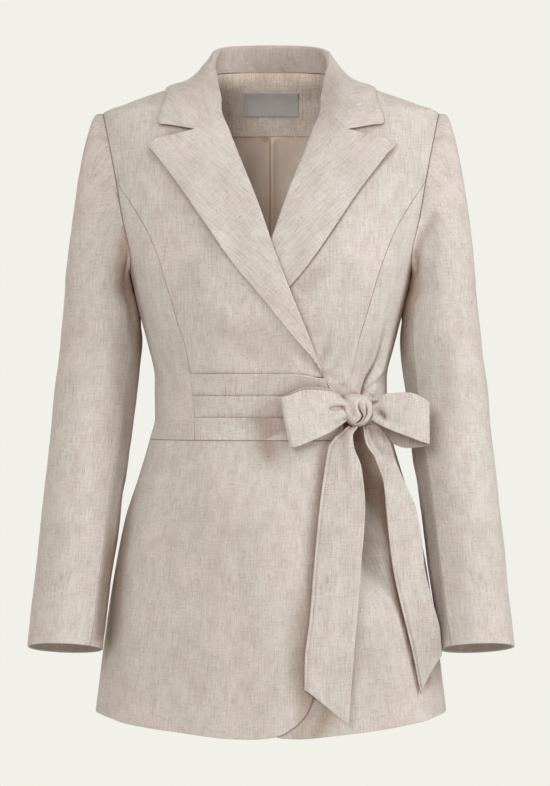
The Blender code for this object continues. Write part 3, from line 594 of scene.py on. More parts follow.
def mesh_piece(name, verts, faces, grain, turn, look, nodes, shade):
    """A mesh with its weave laid along `grain`, turned by some degrees, in place of its solids."""
    mesh = bpy.data.meshes.new(name)
    mesh.from_pydata((verts * MM).tolist(), [], faces)
    c, s = math.cos(math.radians(turn)), math.sin(math.radians(turn))
    weave = np.stack([grain[:, 0] * c - grain[:, 1] * s, grain[:, 0] * s + grain[:, 1] * c], -1) * MM
    corners = np.zeros(len(mesh.loops), np.int32)
    mesh.loops.foreach_get("vertex_index", corners)
    layer = mesh.uv_layers.new(name="weave")
    layer.data.foreach_set("uv", weave[corners].astype(np.float32).ravel())
    drawn = mesh.attributes.new("shade", "FLOAT", "POINT")
    drawn.data.foreach_set("value", shade.astype(np.float32))
    mesh.shade_smooth()
    mesh.set_sharp_from_angle(angle=math.radians(CRISP))
    mesh.materials.append(look)
    made = bpy.data.objects.new(name + "_cloth", mesh)
    bpy.context.scene.collection.objects.link(made)
    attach(made, BODY)
    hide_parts(*nodes)


def both(name, make, look, wall, edges, folds=None, turn=0.0, shown=None, sewn=None, shade=None, **ways):
    """The left and the right piece. `make` gives the points and the plane of one at its layer.

    `sewn` names the edges where its folds end, if they are not all of its seams.
    """
    seams = [side for side, kind in zip(SIDES, edges) if kind in SEAM_DROPS]
    for side, layer in (("left", 0.0), ("right", WRAP_LAYER)):
        points, plane = make(layer)
        own = (folds or {}).get(side, ())
        still = held(points, seams, STILL_REACH)
        relief = creased(plane, own, seed=len(name) + int(layer), still=still, **ways)
        relief = relief * held(points, seams if sewn is None else sewn, SEWN_REACH)
        seen = 1.0 if shown is None else shown(plane, side)
        deep = 0.0 if shade is None else shade(points, side)
        shell(f"{name}_{side}", points, plane, relief, wall, look, edges, turn, side == "right",
              shown=seen, shade=deep)


# ---- bodice

BODICE_ARC = 2.4  # millimetres of cloth to a degree round the bodice
SEAM_LOST = (-352, -288)  # heights over which the left front's long seam comes to show

# Each fold's rise, width to its left and right, fade at its start and end, then its path's points
FRONT_FOLDS = {
    "right": (
        (1.9, 11, 10, 0.3, 0.4, 60, -190, 38, -222, 8, -262, -18, -296, -34, -312),
        (-1.8, 8, 9, 0.3, 0.15, 22, -238, 4, -270, -22, -304, -50, -329),
        (1.5, 10, 9, 0.35, 0.3, 84, -236, 52, -272, 14, -306, -22, -326),
        (-1.3, 8, 8, 0.3, 0.4, 92, -266, 64, -296, 28, -318),
        (1.0, 7, 11, 0.3, 0.5, 120, -168, 108, -200, 100, -238),
        (-0.8, 12, 8, 0.4, 0.4, 150, -66, 128, -108, 112, -150),
    ),
    "left": (
        (-8.0, 2.4, 3.4, 0.02, 0.8, 102, -360, 106, -345, 114, -329, 121, -312, 127, -286, 131, -258),
        (3.2, 5, 5.5, 0.02, 0.7, 111, -360, 117, -343, 126, -322, 132, -292, 135, -262),
        (-3.4, 2.6, 3.2, 0.02, 0.5, 107, -355, 119, -343, 131, -333),
        (2.4, 5, 6, 0.05, 0.6, 92, -360, 97, -334, 107, -302, 114, -262),
        (-4.2, 5, 6.5, 0.05, 0.75, 67, -344, 75, -327, 82, -311, 89, -293, 95, -262),
        (3.0, 5, 6, 0.1, 0.6, 77, -350, 85, -328, 93, -304, 100, -276),
        (-3.6, 4, 5, 0.1, 0.6, 53, -326, 60, -305, 67, -278),
        (2.0, 5, 5, 0.1, 0.6, 62, -336, 69, -312, 77, -284),
        (1.3, 9, 12, 0.4, 0.5, 140, -150, 128, -196, 122, -244),
        (-0.9, 10, 9, 0.4, 0.4, 158, -86, 140, -122, 128, -158),
    ),
}
BACK_FOLDS = {
    "right": (
        (-3.0, 9, 12, 0.4, 0.4, -30, -386, -44, -330, -52, -268),
        (2.2, 10, 8, 0.4, 0.4, -104, -80, -88, -130, -70, -168),
        (-2.4, 7, 10, 0.3, 0.5, -92, -236, -66, -262, -30, -276),
        (-2.0, 6, 9, 0.3, 0.5, -98, -330, -70, -344, -34, -350),
    ),
    "left": (
        (-2.8, 12, 9, 0.4, 0.4, -24, -392, -36, -346, -40, -300),
        (2.4, 8, 11, 0.4, 0.4, -116, -92, -92, -150, -66, -196),
        (-2.6, 8, 8, 0.3, 0.5, -84, -300, -56, -318, -20, -322),
        (-2.0, 9, 6, 0.3, 0.5, -88, -222, -58, -240, -26, -246),
    ),
}

# Painted shade on each piece, given as folds, but the first number is how deep it is: shadows that
# neighbours cast, and sides turned from the lamps. A point is (across towards the piece's own side,
# height), as seen from the front.
SHADES_FACE = (-25, 5)  # how far in front of the middle a point is when it begins, and is full
SHADES = {
    "front_right": (
        (0.6, 4.5, 4.5, 0.05, 0.4, 90, -72.5, 101, -70, 112, -68, 122, -66),
        (0.16, 9, 9, 0.3, 0.3, 120, -100, 96, -140, 70, -186, 44, -232),
        (0.24, 13, 13, 0.3, 0.2, 38, -272, 4, -304, -30, -330),
    ),
    "front_left": (
        (0.4, 3.5, 3.5, 0.05, 0.4, 86, -72, 100, -68, 119, -63),
        (0.28, 9, 9, 0.35, 0.15, 62, -211, 44, -234, 33, -251),
    ),
    "lapel_right": (
        (0.12, 11, 11, 0.3, 0.3, 66, -100, 47, -145, 28, -190, 4, -250, -20, -300),
    ),
    "lapel_left": (
        (0.12, 9, 9, 0.3, 0.3, 16, -130, 8, -162, 0, -192),
    ),
    "collar": (
        (0.14, 22, 22, 0.3, 0.3, -40, 20, -60, 8, -75, -20, -92, -50),
    ),
    "pleat_2": (
        (0.22, 12, 12, 0.3, 0.1, 12, -368, 4, -378, -4, -386),
    ),
    "pleat_3": (
        (0.5, 15, 15, 0.1, 0.1, 14, -376, 6, -390, -2, -406),
    ),
    "skirt_front_right": (
        (0.5, 17, 17, 0.05, 0.5, 6, -396, 4, -412, -2, -428, -10, -448),
        (0.4, 9, 9, 0.35, 0.2, -38, -545, -32, -605, -22, -690),
        (0.12, 40, 34, 0.2, 0.05, 46, -440, 34, -560, 16, -735),
    ),
    "skirt_front_left": (
        (0.42, 9, 9, 0.2, 0.2, 20, -738, 35, -722, 45, -698),
        (0.5, 14, 14, 0.2, 0.3, 40, -740, 54, -718, 68, -690),
        (0.12, 26, 26, 0.3, 0.05, 104, -600, 118, -670, 132, -740),
    ),
    "sleeve_top_right": (
        (0.55, 11, 9, 0.35, 0.3, 160, -155, 166, -195, 167, -235, 163, -275),
        (0.34, 17, 15, 0.25, 0.5, 164, -245, 161, -310, 166, -375, 172, -440, 178, -500),
    ),
    "sleeve_top_left": (
        (0.35, 7, 8, 0.3, 0.3, 160, -180, 163, -205, 163, -235, 158, -270),
        (0.22, 14, 12, 0.3, 0.4, 186, -280, 194, -325, 201, -380, 206, -425),
    ),
    "sleeve_under_right": (
        (0.45, 15, 15, 0.1, 0.6, 143, -270, 149, -342, 157, -408, 168, -496),
        (0.7, 9, 9, 0.4, 0.1, 172, -480, 178, -540, 184, -584, 188, -640),
    ),
    "sleeve_under_left": (
        (0.34, 18, 18, 0.1, 0.05, 144, -240, 152, -320, 161, -397, 172, -496, 185, -594, 192, -640),
    ),
    "neck_facing": (
        (0.2, 7, 7, 0.05, 0.05, -60, 6, 0, 6, 60, 6),
    ),
}


def crested(grid):
    """The grid with its top row on the crest of the shoulder, short of the seam there."""
    grid[-1, :, 1] = SHOULDER_TRIM * np.sign(grid[-2, :, 1])
    return grid


def front_panel(layer):
    """From the shoulder to the waist, or on the right to the first pleat."""
    heights = seam_heights()
    if layer:
        hem = PLEAT_TOP - PLEAT_UNDERLAP
        heights = np.concatenate([[hem], heights[PLEAT_STEPS + 1:]])
        inner = chain(fold_line(hem), neck_front())
    else:
        lowest = LAPEL.seam("fold", [BREAK])[0]
        inner = chain(straight((lowest[0], WAIST), lowest, PLEAT_STEPS), fold_line(), neck_front())
    outer = chain(SEAMS.seam("princess", heights), armhole_top())
    bottom = straight(inner[0], outer[0], SHOULDER_STEPS)
    plane = patch(bottom, outer, shoulder_line(), inner)
    return crested(front(plane, layer)), plane


def side_folds(side):
    """The folds of a front, for the side panel that they run on to."""
    paths = [angle_of(np.reshape(each[5:], (-1, 2))) * (BODICE_ARC, 1) for each in FRONT_FOLDS[side]]
    return [(*each[:5], *path.ravel()) for each, path in zip(FRONT_FOLDS[side], paths)]


def sunk_seam(plane, side):
    """0 where the left front's long seam is lost among the folds that run to the knot."""
    if side == "right":
        return np.ones(plane.shape[:-1])
    return ramp(*SEAM_LOST, plane[..., 1])


def side_panel(layer):
    heights = seam_heights()
    left = angle_of(SEAMS.seam("princess", heights))
    right = angle_of(SEAMS.seam("back_princess", heights), behind=True)
    low = armhole_low()
    top = chain(angle_of(low), angle_of(low[::-1], behind=True))
    bottom = straight(left[0], right[0], 2 * UNDERARM_STEPS)
    polar = patch(bottom, right, top, left)
    return wrapped(around(polar), layer), polar * (BODICE_ARC, 1)


def back_panel(_layer):
    heights = seam_heights()
    outer = chain(SEAMS.seam("back_princess", heights), armhole_top())
    rise = crowded(WAIST, NECK_BACK, len(outer) - 1 - NECK_BACK_STEPS, CENTRE_BACK_CROWD)
    inner = chain(np.stack([0 * rise, rise], -1), neck_back())
    bottom = straight(inner[0], outer[0], SHOULDER_STEPS)
    plane = patch(bottom, outer, shoulder_line(), inner)
    return crested(back(plane))[:, ::-1], plane[:, ::-1] * (-1, 1)


PLEAT_ROWS = 16
PLEAT_COLUMNS = 70
PLEAT_SAG = (5.0, 0.0, 0.0)  # of each pleat's edge where it meets the wrap's own edge
PLEAT_SAG_REACH = 30
PLEAT_SEWN = {"reach": 6, "least": 0.55, "more": 0.45}  # its lift at the side seam, and past it
PLEAT_WAVE = {"share": 0.22, "size": 46, "seed": 30}
PLEAT_BEND = 1.5


def pleat(number):
    """A tuck of the right front's waist: its upper edge is a fold that stands off the cloth."""
    tall = (PLEAT_TOP - WAIST) / PLEATS
    top = PLEAT_TOP - number * tall
    low = max(top - tall - PLEAT_UNDERLAP, WAIST)
    heights = np.linspace(low, top, PLEAT_ROWS + 1)
    left = WRAP_EDGE.seam("right", heights)
    right = SEAMS.seam("princess", heights)
    bottom = straight(left[0], right[0], PLEAT_COLUMNS)
    plane = patch(bottom, right, straight(left[-1], right[-1], PLEAT_COLUMNS), left)
    rise = np.linspace(0, 1, PLEAT_ROWS + 1)[:, None]
    from_seam = right[:, :1] - plane[..., 0]
    sewn = PLEAT_SEWN["least"] + PLEAT_SEWN["more"] * ramp(0, PLEAT_SEWN["reach"], from_seam)
    wave = wander(plane * (1, 0), PLEAT_WAVE["size"], PLEAT_WAVE["seed"] + number)
    lift = PLEAT_LIFT * rise ** PLEAT_BEND * sewn * (1 + PLEAT_WAVE["share"] * wave)
    plane[..., 1] -= PLEAT_SAG[number] * rise * (1 - ramp(0, PLEAT_SAG_REACH, plane[..., 0] - left[:, :1]))
    return moved(front(plane, WRAP_LAYER), lift), plane


def bodice(linen):
    run_on = {side: side_folds(side) for side in FRONT_FOLDS}
    both("front", front_panel, linen, CLOTH, (TUCKED, SEAM, SEAM, SEAM), FRONT_FOLDS,
         shown=sunk_seam, sewn=("bottom", "top"), shade=painted_tail_shade)
    both("side", side_panel, linen, CLOTH, (SEAM,) * 4, run_on,
         shown=sunk_seam, sewn=("right", "bottom", "top"), shade=painted_tail_shade)
    both("back", back_panel, linen, CLOTH, (SEAM,) * 4, BACK_FOLDS)
    for number in range(PLEATS):
        points, plane = pleat(number)
        relief = creased(plane, (), size=40.0, rough=0.25, seed=number)
        name = f"pleat_{number + 1}"
        edges = (FREE, SEAM, SEAM if number == PLEATS - 1 else PLAIN, FREE)
        shell(name, points, plane, relief, CLOTH, linen, edges, mirror=True)


# ---- skirt

# The free front edge of each front below its lapel, as `across` on its own side. It rounds off
# from EDGE_CORNER down through HEM_CORNER to HEM_START.
HEM_START = -726.0
HEM_CORNER = -717.0
EDGE_CORNER = -692.0
WRAP_EDGE = Table(
    "height right left",
    (HEM_START, -13, -2),
    (HEM_CORNER, -27, -14),
    (-708, -36, -19),
    (EDGE_CORNER, -44.5, -24),
    (-660, -52, -29),
    (-560, -63, -40),
    (-480, -73, -50),
    (WAIST, -81, -58),
    (BREAK - 4, -59, -59),
    (BREAK, -57.5, -57.5),
)
HEM = Table("angle height", (-30, -728), (-6, -729), (4, -731), (13, -732), (29, -729), (46, -725.5),
            (62, -721.5), (78, -718), (90, -718), (135, -720), (180, -722))

SKIRT_ARC = 3.1  # millimetres of cloth to a degree round the skirt
SKIRT_ROWS = 66
SKIRT_COLUMNS = 76
FOLD_TOP = -412.0
FOLD_DEEPEST = (-440.0, -505.0)
FOLD_END = -610.0
FOLD_SHADE = 0.78
# How far from the left tail's near edge the hollow behind the tails is in the shade, and how softly
SHADED = Table("height reach soft", (-760, 1, 1), (-690, 2, 2), (-627, 4, 3), (-583, 7.5, 6),
               (-540, 8, 9), (-496, 19, 15), (-470, 42, 20), (-440, 60, 16), (-380, 60, 10))
SHADED_PAST = (10, 20)  # on the far side of that edge
SHADED_FROM = (-392, -380)
SHADED_DOWN_TO = (-690, -672)
SHADED_FRONT = (10, 45)  # how far in front of the middle it begins, and is full
TAIL_SHADE = 0.5  # beside the right tail, which stands off the skirt
TAIL_SHADE_REACH = 17.0
TAIL_SHADE_ENDS = (-735, -700, -440, -405)
LAYER_LOST = 0.4  # share of the wrap's layer that is lost down to the hem
HEM_FIRST = 6.0
HEM_STEPS = 10
CORNER_STEPS = 2
EDGE_STEPS = 5
# Depth round the body of the fold behind the tails, and of each side's flutes
SKIRT_FOLDS = Table(
    "angle deep right left",
    (-30, 0, 0, 0),
    (0, 0, 0, 0),
    (14, 0, 1.0, 0),
    (26, 0, -0.8, 0),
    (36, 0, 0.8, -1.0),
    (41, 3, 1.2, 0),
    (44, 18, 1.0, 0),
    (48, 40, 0, 0),
    (52, 42, 0, 0),
    (56, 20, -0.8, 0),
    (60, 4, -1.4, 0),
    (66, 0, 0, -1.2),
    (76, 0, 1.6, 1.6),
    (90, 0, 0, 0),
)
BACK_FLUTES = Table("angle wave", (90, 0), (104, 1.5), (118, -2), (131, 2.5), (143, -1), (155, -2),
                    (168, 2.2), (180, 2.6))
SKIRT_CREASES = {
    "right": (
        (-1.2, 10, 14, 0.1, 0.6, 118, -414, 126, -470, 128, -560),
        (-1.0, 12, 9, 0.2, 0.5, 214, -416, 220, -462, 222, -520),
        (1.2, 13, 10, 0.3, 0.4, 60, -452, 66, -540, 62, -640),
    ),
    "left": (
        (-2.4, 6, 7, 0.03, 0.7, 120, -412, 136, -448, 146, -498),
        (-1.8, 7, 6, 0.03, 0.6, 168, -412, 176, -452, 180, -520),
        (1.4, 9, 12, 0.2, 0.5, 196, -430, 206, -520, 210, -610),
    ),
}
SKIRT_BACK_CREASES = {
    "right": (
        (-2.2, 10, 13, 0.1, 0.6, 372, -412, 380, -460, 386, -540),
        (-2.4, 12, 9, 0.1, 0.6, 470, -412, 462, -470, 458, -570),
        (1.6, 13, 11, 0.3, 0.4, 420, -440, 424, -540, 428, -650),
    ),
    "left": (
        (-2.6, 9, 12, 0.1, 0.6, 400, -412, 396, -466, 390, -550),
        (-1.8, 12, 10, 0.1, 0.6, 500, -412, 496, -450, 486, -520),
        (1.8, 12, 14, 0.3, 0.4, 448, -450, 452, -560, 450, -660),
    ),
}


def down_skirt(height):
    """0 at the waist, 1 from the corner of the front edge down."""
    return ramp(-WAIST, -EDGE_CORNER, -height)


def skirt_front(layer):
    """From the free edge, which rounds into the hem, to the side seam."""
    side = "right" if layer else "left"
    corner = np.linspace(HEM_CORNER, EDGE_CORNER, CORNER_STEPS + 1)
    heights = chain(corner, np.linspace(EDGE_CORNER, WAIST, EDGE_STEPS + 1))
    left = fine(angle_of(WRAP_EDGE.seam(side, heights)), SKIRT_ROWS)
    turn = angle_of(WRAP_EDGE.seam(side, np.array([HEM_CORNER, HEM_START])))
    angles = np.linspace(turn[-1, 0] + HEM_FIRST, 90, HEM_STEPS + 1)
    bottom = np.concatenate([turn, np.stack([angles, HEM.read("height", angles)], -1)])
    bottom = fine(bottom, SKIRT_COLUMNS)
    right = straight(bottom[-1], (90, WAIST), SKIRT_ROWS)
    polar = patch(bottom, right, straight(left[-1], right[-1], SKIRT_COLUMNS), left)
    angle, height = polar[..., 0], polar[..., 1]
    inward = SKIRT_FOLDS.read(side, angle) * down_skirt(height)
    if not layer:
        deep = ramp(-FOLD_TOP, -FOLD_DEEPEST[0], -height) * ramp(FOLD_END, FOLD_DEEPEST[1], height)
        inward = inward + SKIRT_FOLDS.read("deep", angle) * deep
    points = wrapped(around(polar, -inward), layer * (1 - LAYER_LOST * down_skirt(height)))
    return points, polar * (SKIRT_ARC, 1)


def skirt_back(_layer):
    angles = np.linspace(90, 180, SKIRT_COLUMNS + 1)
    bottom = np.stack([angles, HEM.read("height", angles)], -1)
    top = np.stack([angles, 0 * angles + WAIST], -1)
    polar = ruled(bottom, top, SKIRT_ROWS)
    wave = BACK_FLUTES.read("wave", polar[..., 0]) * down_skirt(polar[..., 1])
    return around(polar, -wave), polar * (SKIRT_ARC, 1)


def painted_tail_shade(points, side):
    """How deep in the painted shade of the tails a point of the cloth behind or beside them lies."""
    x, z = points[..., 0], points[..., 2]
    if side == "right":
        away = TAIL_RIGHT.read("right", z) + x
        low, full, upper, top = TAIL_SHADE_ENDS
        tall = ramp(low, full, z) * (1 - ramp(upper, top, z))
        return TAIL_SHADE * (1 - ramp(0, TAIL_SHADE_REACH, away)) * tall
    edge = TAIL_LEFT.read("right", z)
    near = ramp(0, 1, (x - edge + SHADED.read("reach", z)) / SHADED.read("soft", z))
    past = 1 - ramp(*SHADED_PAST, x - edge)
    front_only = ramp(*SHADED_FRONT, -points[..., 1])
    return FOLD_SHADE * near * past * front_only * (1 - ramp(*SHADED_FROM, z)) * ramp(*SHADED_DOWN_TO, z)


def skirt(linen):
    both("skirt_front", skirt_front, linen, CLOTH, (FREE, SEAM, FREE, SEAM), SKIRT_CREASES,
         shade=painted_tail_shade)
    both("skirt_back", skirt_back, linen, CLOTH, (SEAM, SEAM, FREE, SEAM), SKIRT_BACK_CREASES)


# ---- lapels and collar

# Where the collar folds, and the angle and height of its free edge, from the gorge to the back
COLLAR = Table(
    "turn x y z edge_angle edge_height",
    (0.0, 57, -35, -36, 65.5, -55.5),
    (0.1, 60, -24, -23, 67, -42),
    (0.2, 62, -12, -8, 71, -25),
    (0.3, 63, 2, 13, 84, -11.5),
    (0.5, 61, 23, 36, 104, -9),
    (0.75, 44, 46, 45, 140, -8),
    (1.0, 0, 57, 47.5, 180, -8),
)

PEAK_STEPS = 16
LAPEL_COLUMNS = GORGE_STEPS + PEAK_STEPS
ROLL_COLUMNS = 7
ROLL_ARC = (0.12, 0.92)  # share of the half turn that the rolled fold takes
GORGE_INSET = 0.05
GORGE_ROWS = 3
INNER_SHADE = 0.3  # of the collar's inner face
LAPEL_CURL = {"rise": 2.4, "from": 0.45, "height": -170, "tall": 70}  # of its free edge off the chest
TIP_CURL = 5.0
TIP_REACH = 46.0
LAPEL_UNDER = (1.3, 0.6)  # of the lapel's lift, and millimetres: where the roll's weave begins and ends
LAPEL_GRAIN = 46.0  # degrees that a lapel's weave is turned by its fold
FALL_ROWS = 26
LEAF_LIFT = (0, 6.5, 0)  # of the collar's corner off the chest
COLLAR_SIDE = 0.3  # turn of the collar at the shoulder seam
FALL_STEPS = 26  # on each side of the shoulder seam
FALL_LIFT = 6.2  # of the fall over the stand
STAND_FACE = 2.2  # of the stand's inner face from its seam line
STAND_ROWS = 10
CREST_ROWS = 11
CREST_SQUASH = 0.85
GORGE_REACH = 9.0  # height of stand over which the lapel's roll becomes the collar's
REST_LOW = -180.0
FINE = 44
DEEPEST = 14.0  # a point further under a surface than this isn't meant to lie on it
SMOOTHING = 8
EDGE_SMOOTHING = 14
EDGE_FIXED = 4  # points of the collar's free edge, from its corner, that smoothing leaves
LEAST_STAND = 0.5


def lapel_roll(layer, face_normal, fold):
    """The rolled fold that joins the lapel to the front, as columns towards the lapel's face."""
    edge = front(fold, layer)
    beyond = unit(np.cross(face_normal, unit(np.gradient(edge, axis=0))))
    radius = LAPEL_LIFT / 2
    turn = np.linspace(*ROLL_ARC, ROLL_COLUMNS)[None, :, None] * math.pi
    reach = radius * (np.sin(turn) - 1)
    return edge[:, None] + beyond[:, None] * reach + face_normal[:, None] * radius * (1 - np.cos(turn))


def lapel(layer):
    """Folded out of the front's edge and laid on the chest, with its peak towards the shoulder."""
    fold = fold_line(LAPEL_START)
    low = fold[0] + LAPEL_TOE
    heights = np.linspace(low[1], LAPEL_TIP[1], ROLL_STEPS + 1)
    edge = LAPEL.seam("edge", heights)
    edge[0] = low
    gorge, notch = np.array(GORGE), np.array(NOTCH)
    start = gorge + (notch - gorge) * GORGE_INSET
    inner = fold + (LAPEL_LIFT / 2, 0)
    inner[-1] = start
    top = chain(straight(start, notch, GORGE_STEPS), straight(notch, LAPEL_TIP, PEAK_STEPS))
    plane = patch(straight(inner[0], edge[0], LAPEL_COLUMNS), edge, top, inner)
    base = front(plane, layer)
    share = np.linspace(0, 1, LAPEL_COLUMNS + 1)[None] * np.ones((len(plane), 1))
    tall = bump(LAPEL_CURL["height"], LAPEL_CURL["tall"], plane[..., 1])
    curl = LAPEL_CURL["rise"] * ramp(LAPEL_CURL["from"], 1, share) * tall
    curl = curl + TIP_CURL * bump(0, TIP_REACH, np.linalg.norm(plane - LAPEL_TIP, axis=-1))
    face = moved(base, LAPEL_LIFT + curl)
    roll = lapel_roll(layer, outward(base)[:, 0], fold)
    back_step = np.linspace(-LAPEL_LIFT * LAPEL_UNDER[0], -LAPEL_UNDER[1], ROLL_COLUMNS)
    roll_plane = inner[:, None] + np.stack([back_step, 0 * back_step], -1)
    return np.concatenate([roll, face], axis=1), np.concatenate([roll_plane, plane], axis=1)


def collar_turns(before, after):
    """Turns round the collar, from the gorge to the shoulder seam and on to the centre back."""
    return chain(np.linspace(0, COLLAR_SIDE, before + 1), np.linspace(COLLAR_SIDE, 1, after + 1))


def stand(turns):
    """The stand's face: its seam at the neck, and its fold."""
    neck_seam = chain(front(neck_front()), back(neck_back()[::-1]))
    seam = between(neck_seam, collar_turns(NECK_FRONT_STEPS, NECK_BACK_STEPS), turns)
    return seam, np.stack([COLLAR.read(name, turns) for name in "xyz"], -1)


def collar():
    """From the free edge up the fall, over the crest and down the stand to the neck seam."""
    turns = collar_turns(FALL_STEPS, FALL_STEPS)
    seam, crest = stand(turns)
    tall = np.linalg.norm(seam - crest, axis=-1)[:, None]
    grown = ramp(0, GORGE_REACH, tall)
    points, _ = lapel(0.0)
    normal = outward(points)[-1, ROLL_COLUMNS]
    beyond = unit(np.cross(normal, points[-1, ROLL_COLUMNS] - points[-2, ROLL_COLUMNS]))
    out = unit(normal * (1 - grown) + unit(np.cross(seam - crest, np.gradient(crest, axis=0))) * grown)
    up = beyond * (1 - grown) + unit(crest - seam) * grown
    up = unit(up - out * np.sum(up * out, axis=-1, keepdims=True))
    outside = LAPEL_LIFT * (1 - grown) + FALL_LIFT * grown
    within = STAND_FACE * grown
    wide = (outside + within) / 2
    deep = wide * CREST_SQUASH
    middle = crest + out * (outside - within) / 2 - up * deep
    turn = np.linspace(0, math.pi, CREST_ROWS + 1)[1:, None, None]
    roll = middle + out * wide * np.cos(turn) + up * deep * np.sin(turn)
    down = np.linspace(0, 1, STAND_ROWS + 1)[1:, None, None]
    inner = roll[-1] - up * np.maximum(tall - deep, LEAST_STAND) * down
    start = middle + out * wide
    polar = np.stack([COLLAR.read("edge_angle", turns), COLLAR.read("edge_height", turns)], -1)
    edge = around(polar, COLLAR_EDGE_LIFT)
    corner = front(np.array([COLLAR_POINT])) - LEAF_LIFT
    gorge = points[-1, ROLL_COLUMNS:][:GORGE_STEPS + 1]
    end = chain(gorge, straight(gorge[-1], corner[0], FALL_ROWS - GORGE_STEPS))
    centre = straight(start[-1], edge[-1], FALL_ROWS)
    start[0], edge[0] = end[0], end[-1]
    body = patch(edge, centre[::-1], start, end[::-1])
    lift = np.full(FALL_ROWS + 1, COLLAR_LIFT)
    lift[0] = COLLAR_EDGE_LIFT
    body[:-1, 1:] = resting(body[:-1, 1:], [*shoulders(), stand_surface()], lift)
    free = body[0, EDGE_FIXED - 1:]
    for _ in range(EDGE_SMOOTHING):
        free[1:-1] = (free[:-2] + 2 * free[1:-1] + free[2:]) / 4
    for _ in range(SMOOTHING):
        body[1:-1, 1:-1] = (body[:-2, 1:-1] + body[2:, 1:-1] + body[1:-1, :-2] + body[1:-1, 2:]) / 4
    half = np.concatenate([body, roll, inner])
    whole = np.concatenate([half, mirrored(half)[:, 1:]], axis=1)
    away = from_edges(whole)
    gorge_rows = np.arange(len(whole)) > FALL_ROWS - GORGE_STEPS
    ends = np.minimum(np.arange(whole.shape[1]), np.arange(whole.shape[1])[::-1]) < GORGE_ROWS
    return whole, np.stack([away["left"], away["bottom"]], -1), 1.0 - gorge_rows[:, None] * ends


def stand_surface():
    seam, crest = stand(np.linspace(0, 1, 2 * FINE))
    share = np.linspace(0, 1, STAND_ROWS)[:, None, None]
    return surface(seam[None] * (1 - share) + crest[None] * share)


def shoulders():
    """A fine surface of the left front and back, for what lies on them."""
    outer = ARMHOLE.seam("across", crowded(REST_LOW, SHOULDER, 2 * FINE, REST_CROWD))
    fold_side = LAPEL.seam("fold", np.linspace(REST_LOW, GORGE[1], FINE + 1))
    inner_front = chain(fold_side, fine(neck_front(), FINE))
    inner_back = chain(straight((0, REST_LOW), (0, NECK_BACK), FINE), fine(neck_back(), FINE))
    crest = fine(shoulder_line(), FINE)
    ahead = front(patch(straight(inner_front[0], outer[0], FINE), outer, crest, inner_front))
    behind = back(patch(straight(inner_back[0], outer[0], FINE), outer, crest, inner_back))[:, ::-1]
    ahead[-1, :, 1] = 0
    behind[-1, :, 1] = 0
    return [surface(ahead), surface(behind)]


def surface(points):
    """A searchable surface of a grid of points."""
    _, quads = grid_faces(*points.shape[:2])
    return BVHTree.FromPolygons(points.reshape(-1, 3).tolist(), quads.tolist())


def resting(points, surfaces, lift):
    """The points, with those under the surfaces or nearer than their row's lift moved out."""
    out = points.copy()
    for place in np.ndindex(points.shape[:2]):
        point = Vector(points[place])
        spot, normal, _, away = min((s.find_nearest(point) for s in surfaces), key=lambda hit: hit[3])
        under = (point - spot).dot(normal) < 0 and away < DEEPEST
        if under or away < lift[place[0]]:
            out[place] = spot + normal * lift[place[0]]
    return out


LAPEL_FOLDS = {
    "right": (
        (0.9, 14, 16, 0.3, 0.4, 70, -96, 44, -150, 14, -214),
    ),
    "left": (
        (0.8, 15, 13, 0.3, 0.4, 76, -104, 40, -166, 6, -226),
    ),
}


def past_gorge(plane, _side):
    """0 along the gorge, where lapel and collar are one cloth to the eye, and 1 elsewhere."""
    shown = np.ones(plane.shape[:-1])
    shown[-GORGE_ROWS:, :ROLL_COLUMNS + GORGE_STEPS + 1] = 0
    return shown


def lapels(linen):
    both("lapel", lapel, linen, LAPEL_CLOTH, (PLAIN, FREE, FREE, FREE), LAPEL_FOLDS, LAPEL_GRAIN,
         past_gorge, rough=0.3)
    points, plane, shown = collar()
    relief = creased(plane, (), size=60.0, rough=0.3, seed=77)
    inner = ramp(FALL_ROWS + CREST_ROWS / 2, FALL_ROWS + CREST_ROWS, np.arange(len(points)))[:, None]
    shell("collar", points, plane, relief, LAPEL_CLOTH, linen, (FREE, FREE, FREE, SOFT),
          nodes=["collar_fall", "collar_stand"], shown=shown, shade=INNER_SHADE * inner)


# ---- inside the back

FACING_END = -54.0
FACING_HALF = 82.0
LABEL = {"half_width": 32.5, "top": -2.0, "bottom": -30.0}
LINING_TIP = (150, -66)
LINING = Table("height half_width", (LINING_END, 100), (-300, 108), (ARMPIT, 126), (-160, 137),
               (-110, 145), LINING_TIP[::-1])
LINING_TOP = Table("across height", (0, FACING_END), (FACING_HALF, FACING_END), (120, -59), LINING_TIP)

FACING_ROWS = 24
FACING_INSET = 7.0
FACING_SEWN = 2.7  # its inset where it is sewn to the neck
FACING_RISE = (0.45, 0.95)  # shares of its height over which it goes from the one to the other
LABEL_STEPS = (30, 14)
LINING_ROWS = 84
LINING_COLUMNS = 110
LINING_FOLDS = (
    (3.0, 1.2, 5.0, 0.35, 0.02, 0, -330, 0.5, -200, 0.5, -54),
    (-2.2, 1.0, 0.9, 0.35, 0.02, -1.8, -330, -1.3, -200, -1.3, -54),
    (-1.6, 5, 4, 0.4, 0.02, -5, -300, -6, -180, -5, -54),
    (-1.7, 7, 9, 0.4, 0.1, -26, -280, -24, -180, -21, -70),
    (1.5, 8, 7, 0.4, 0.1, -38, -300, -36, -190, -35, -66),
    (-1.4, 8, 8, 0.4, 0.1, -54, -280, -51, -160, -48, -62),
    (-1.5, 9, 7, 0.4, 0.1, 24, -290, 22, -170, 19, -64),
    (1.4, 8, 9, 0.4, 0.1, 38, -280, 35, -170, 33, -70),
    (-1.5, 8, 8, 0.4, 0.1, 58, -300, 53, -180, 48, -66),
)
LINING_PUFF = 1.7  # how much deeper than linen's its folds are
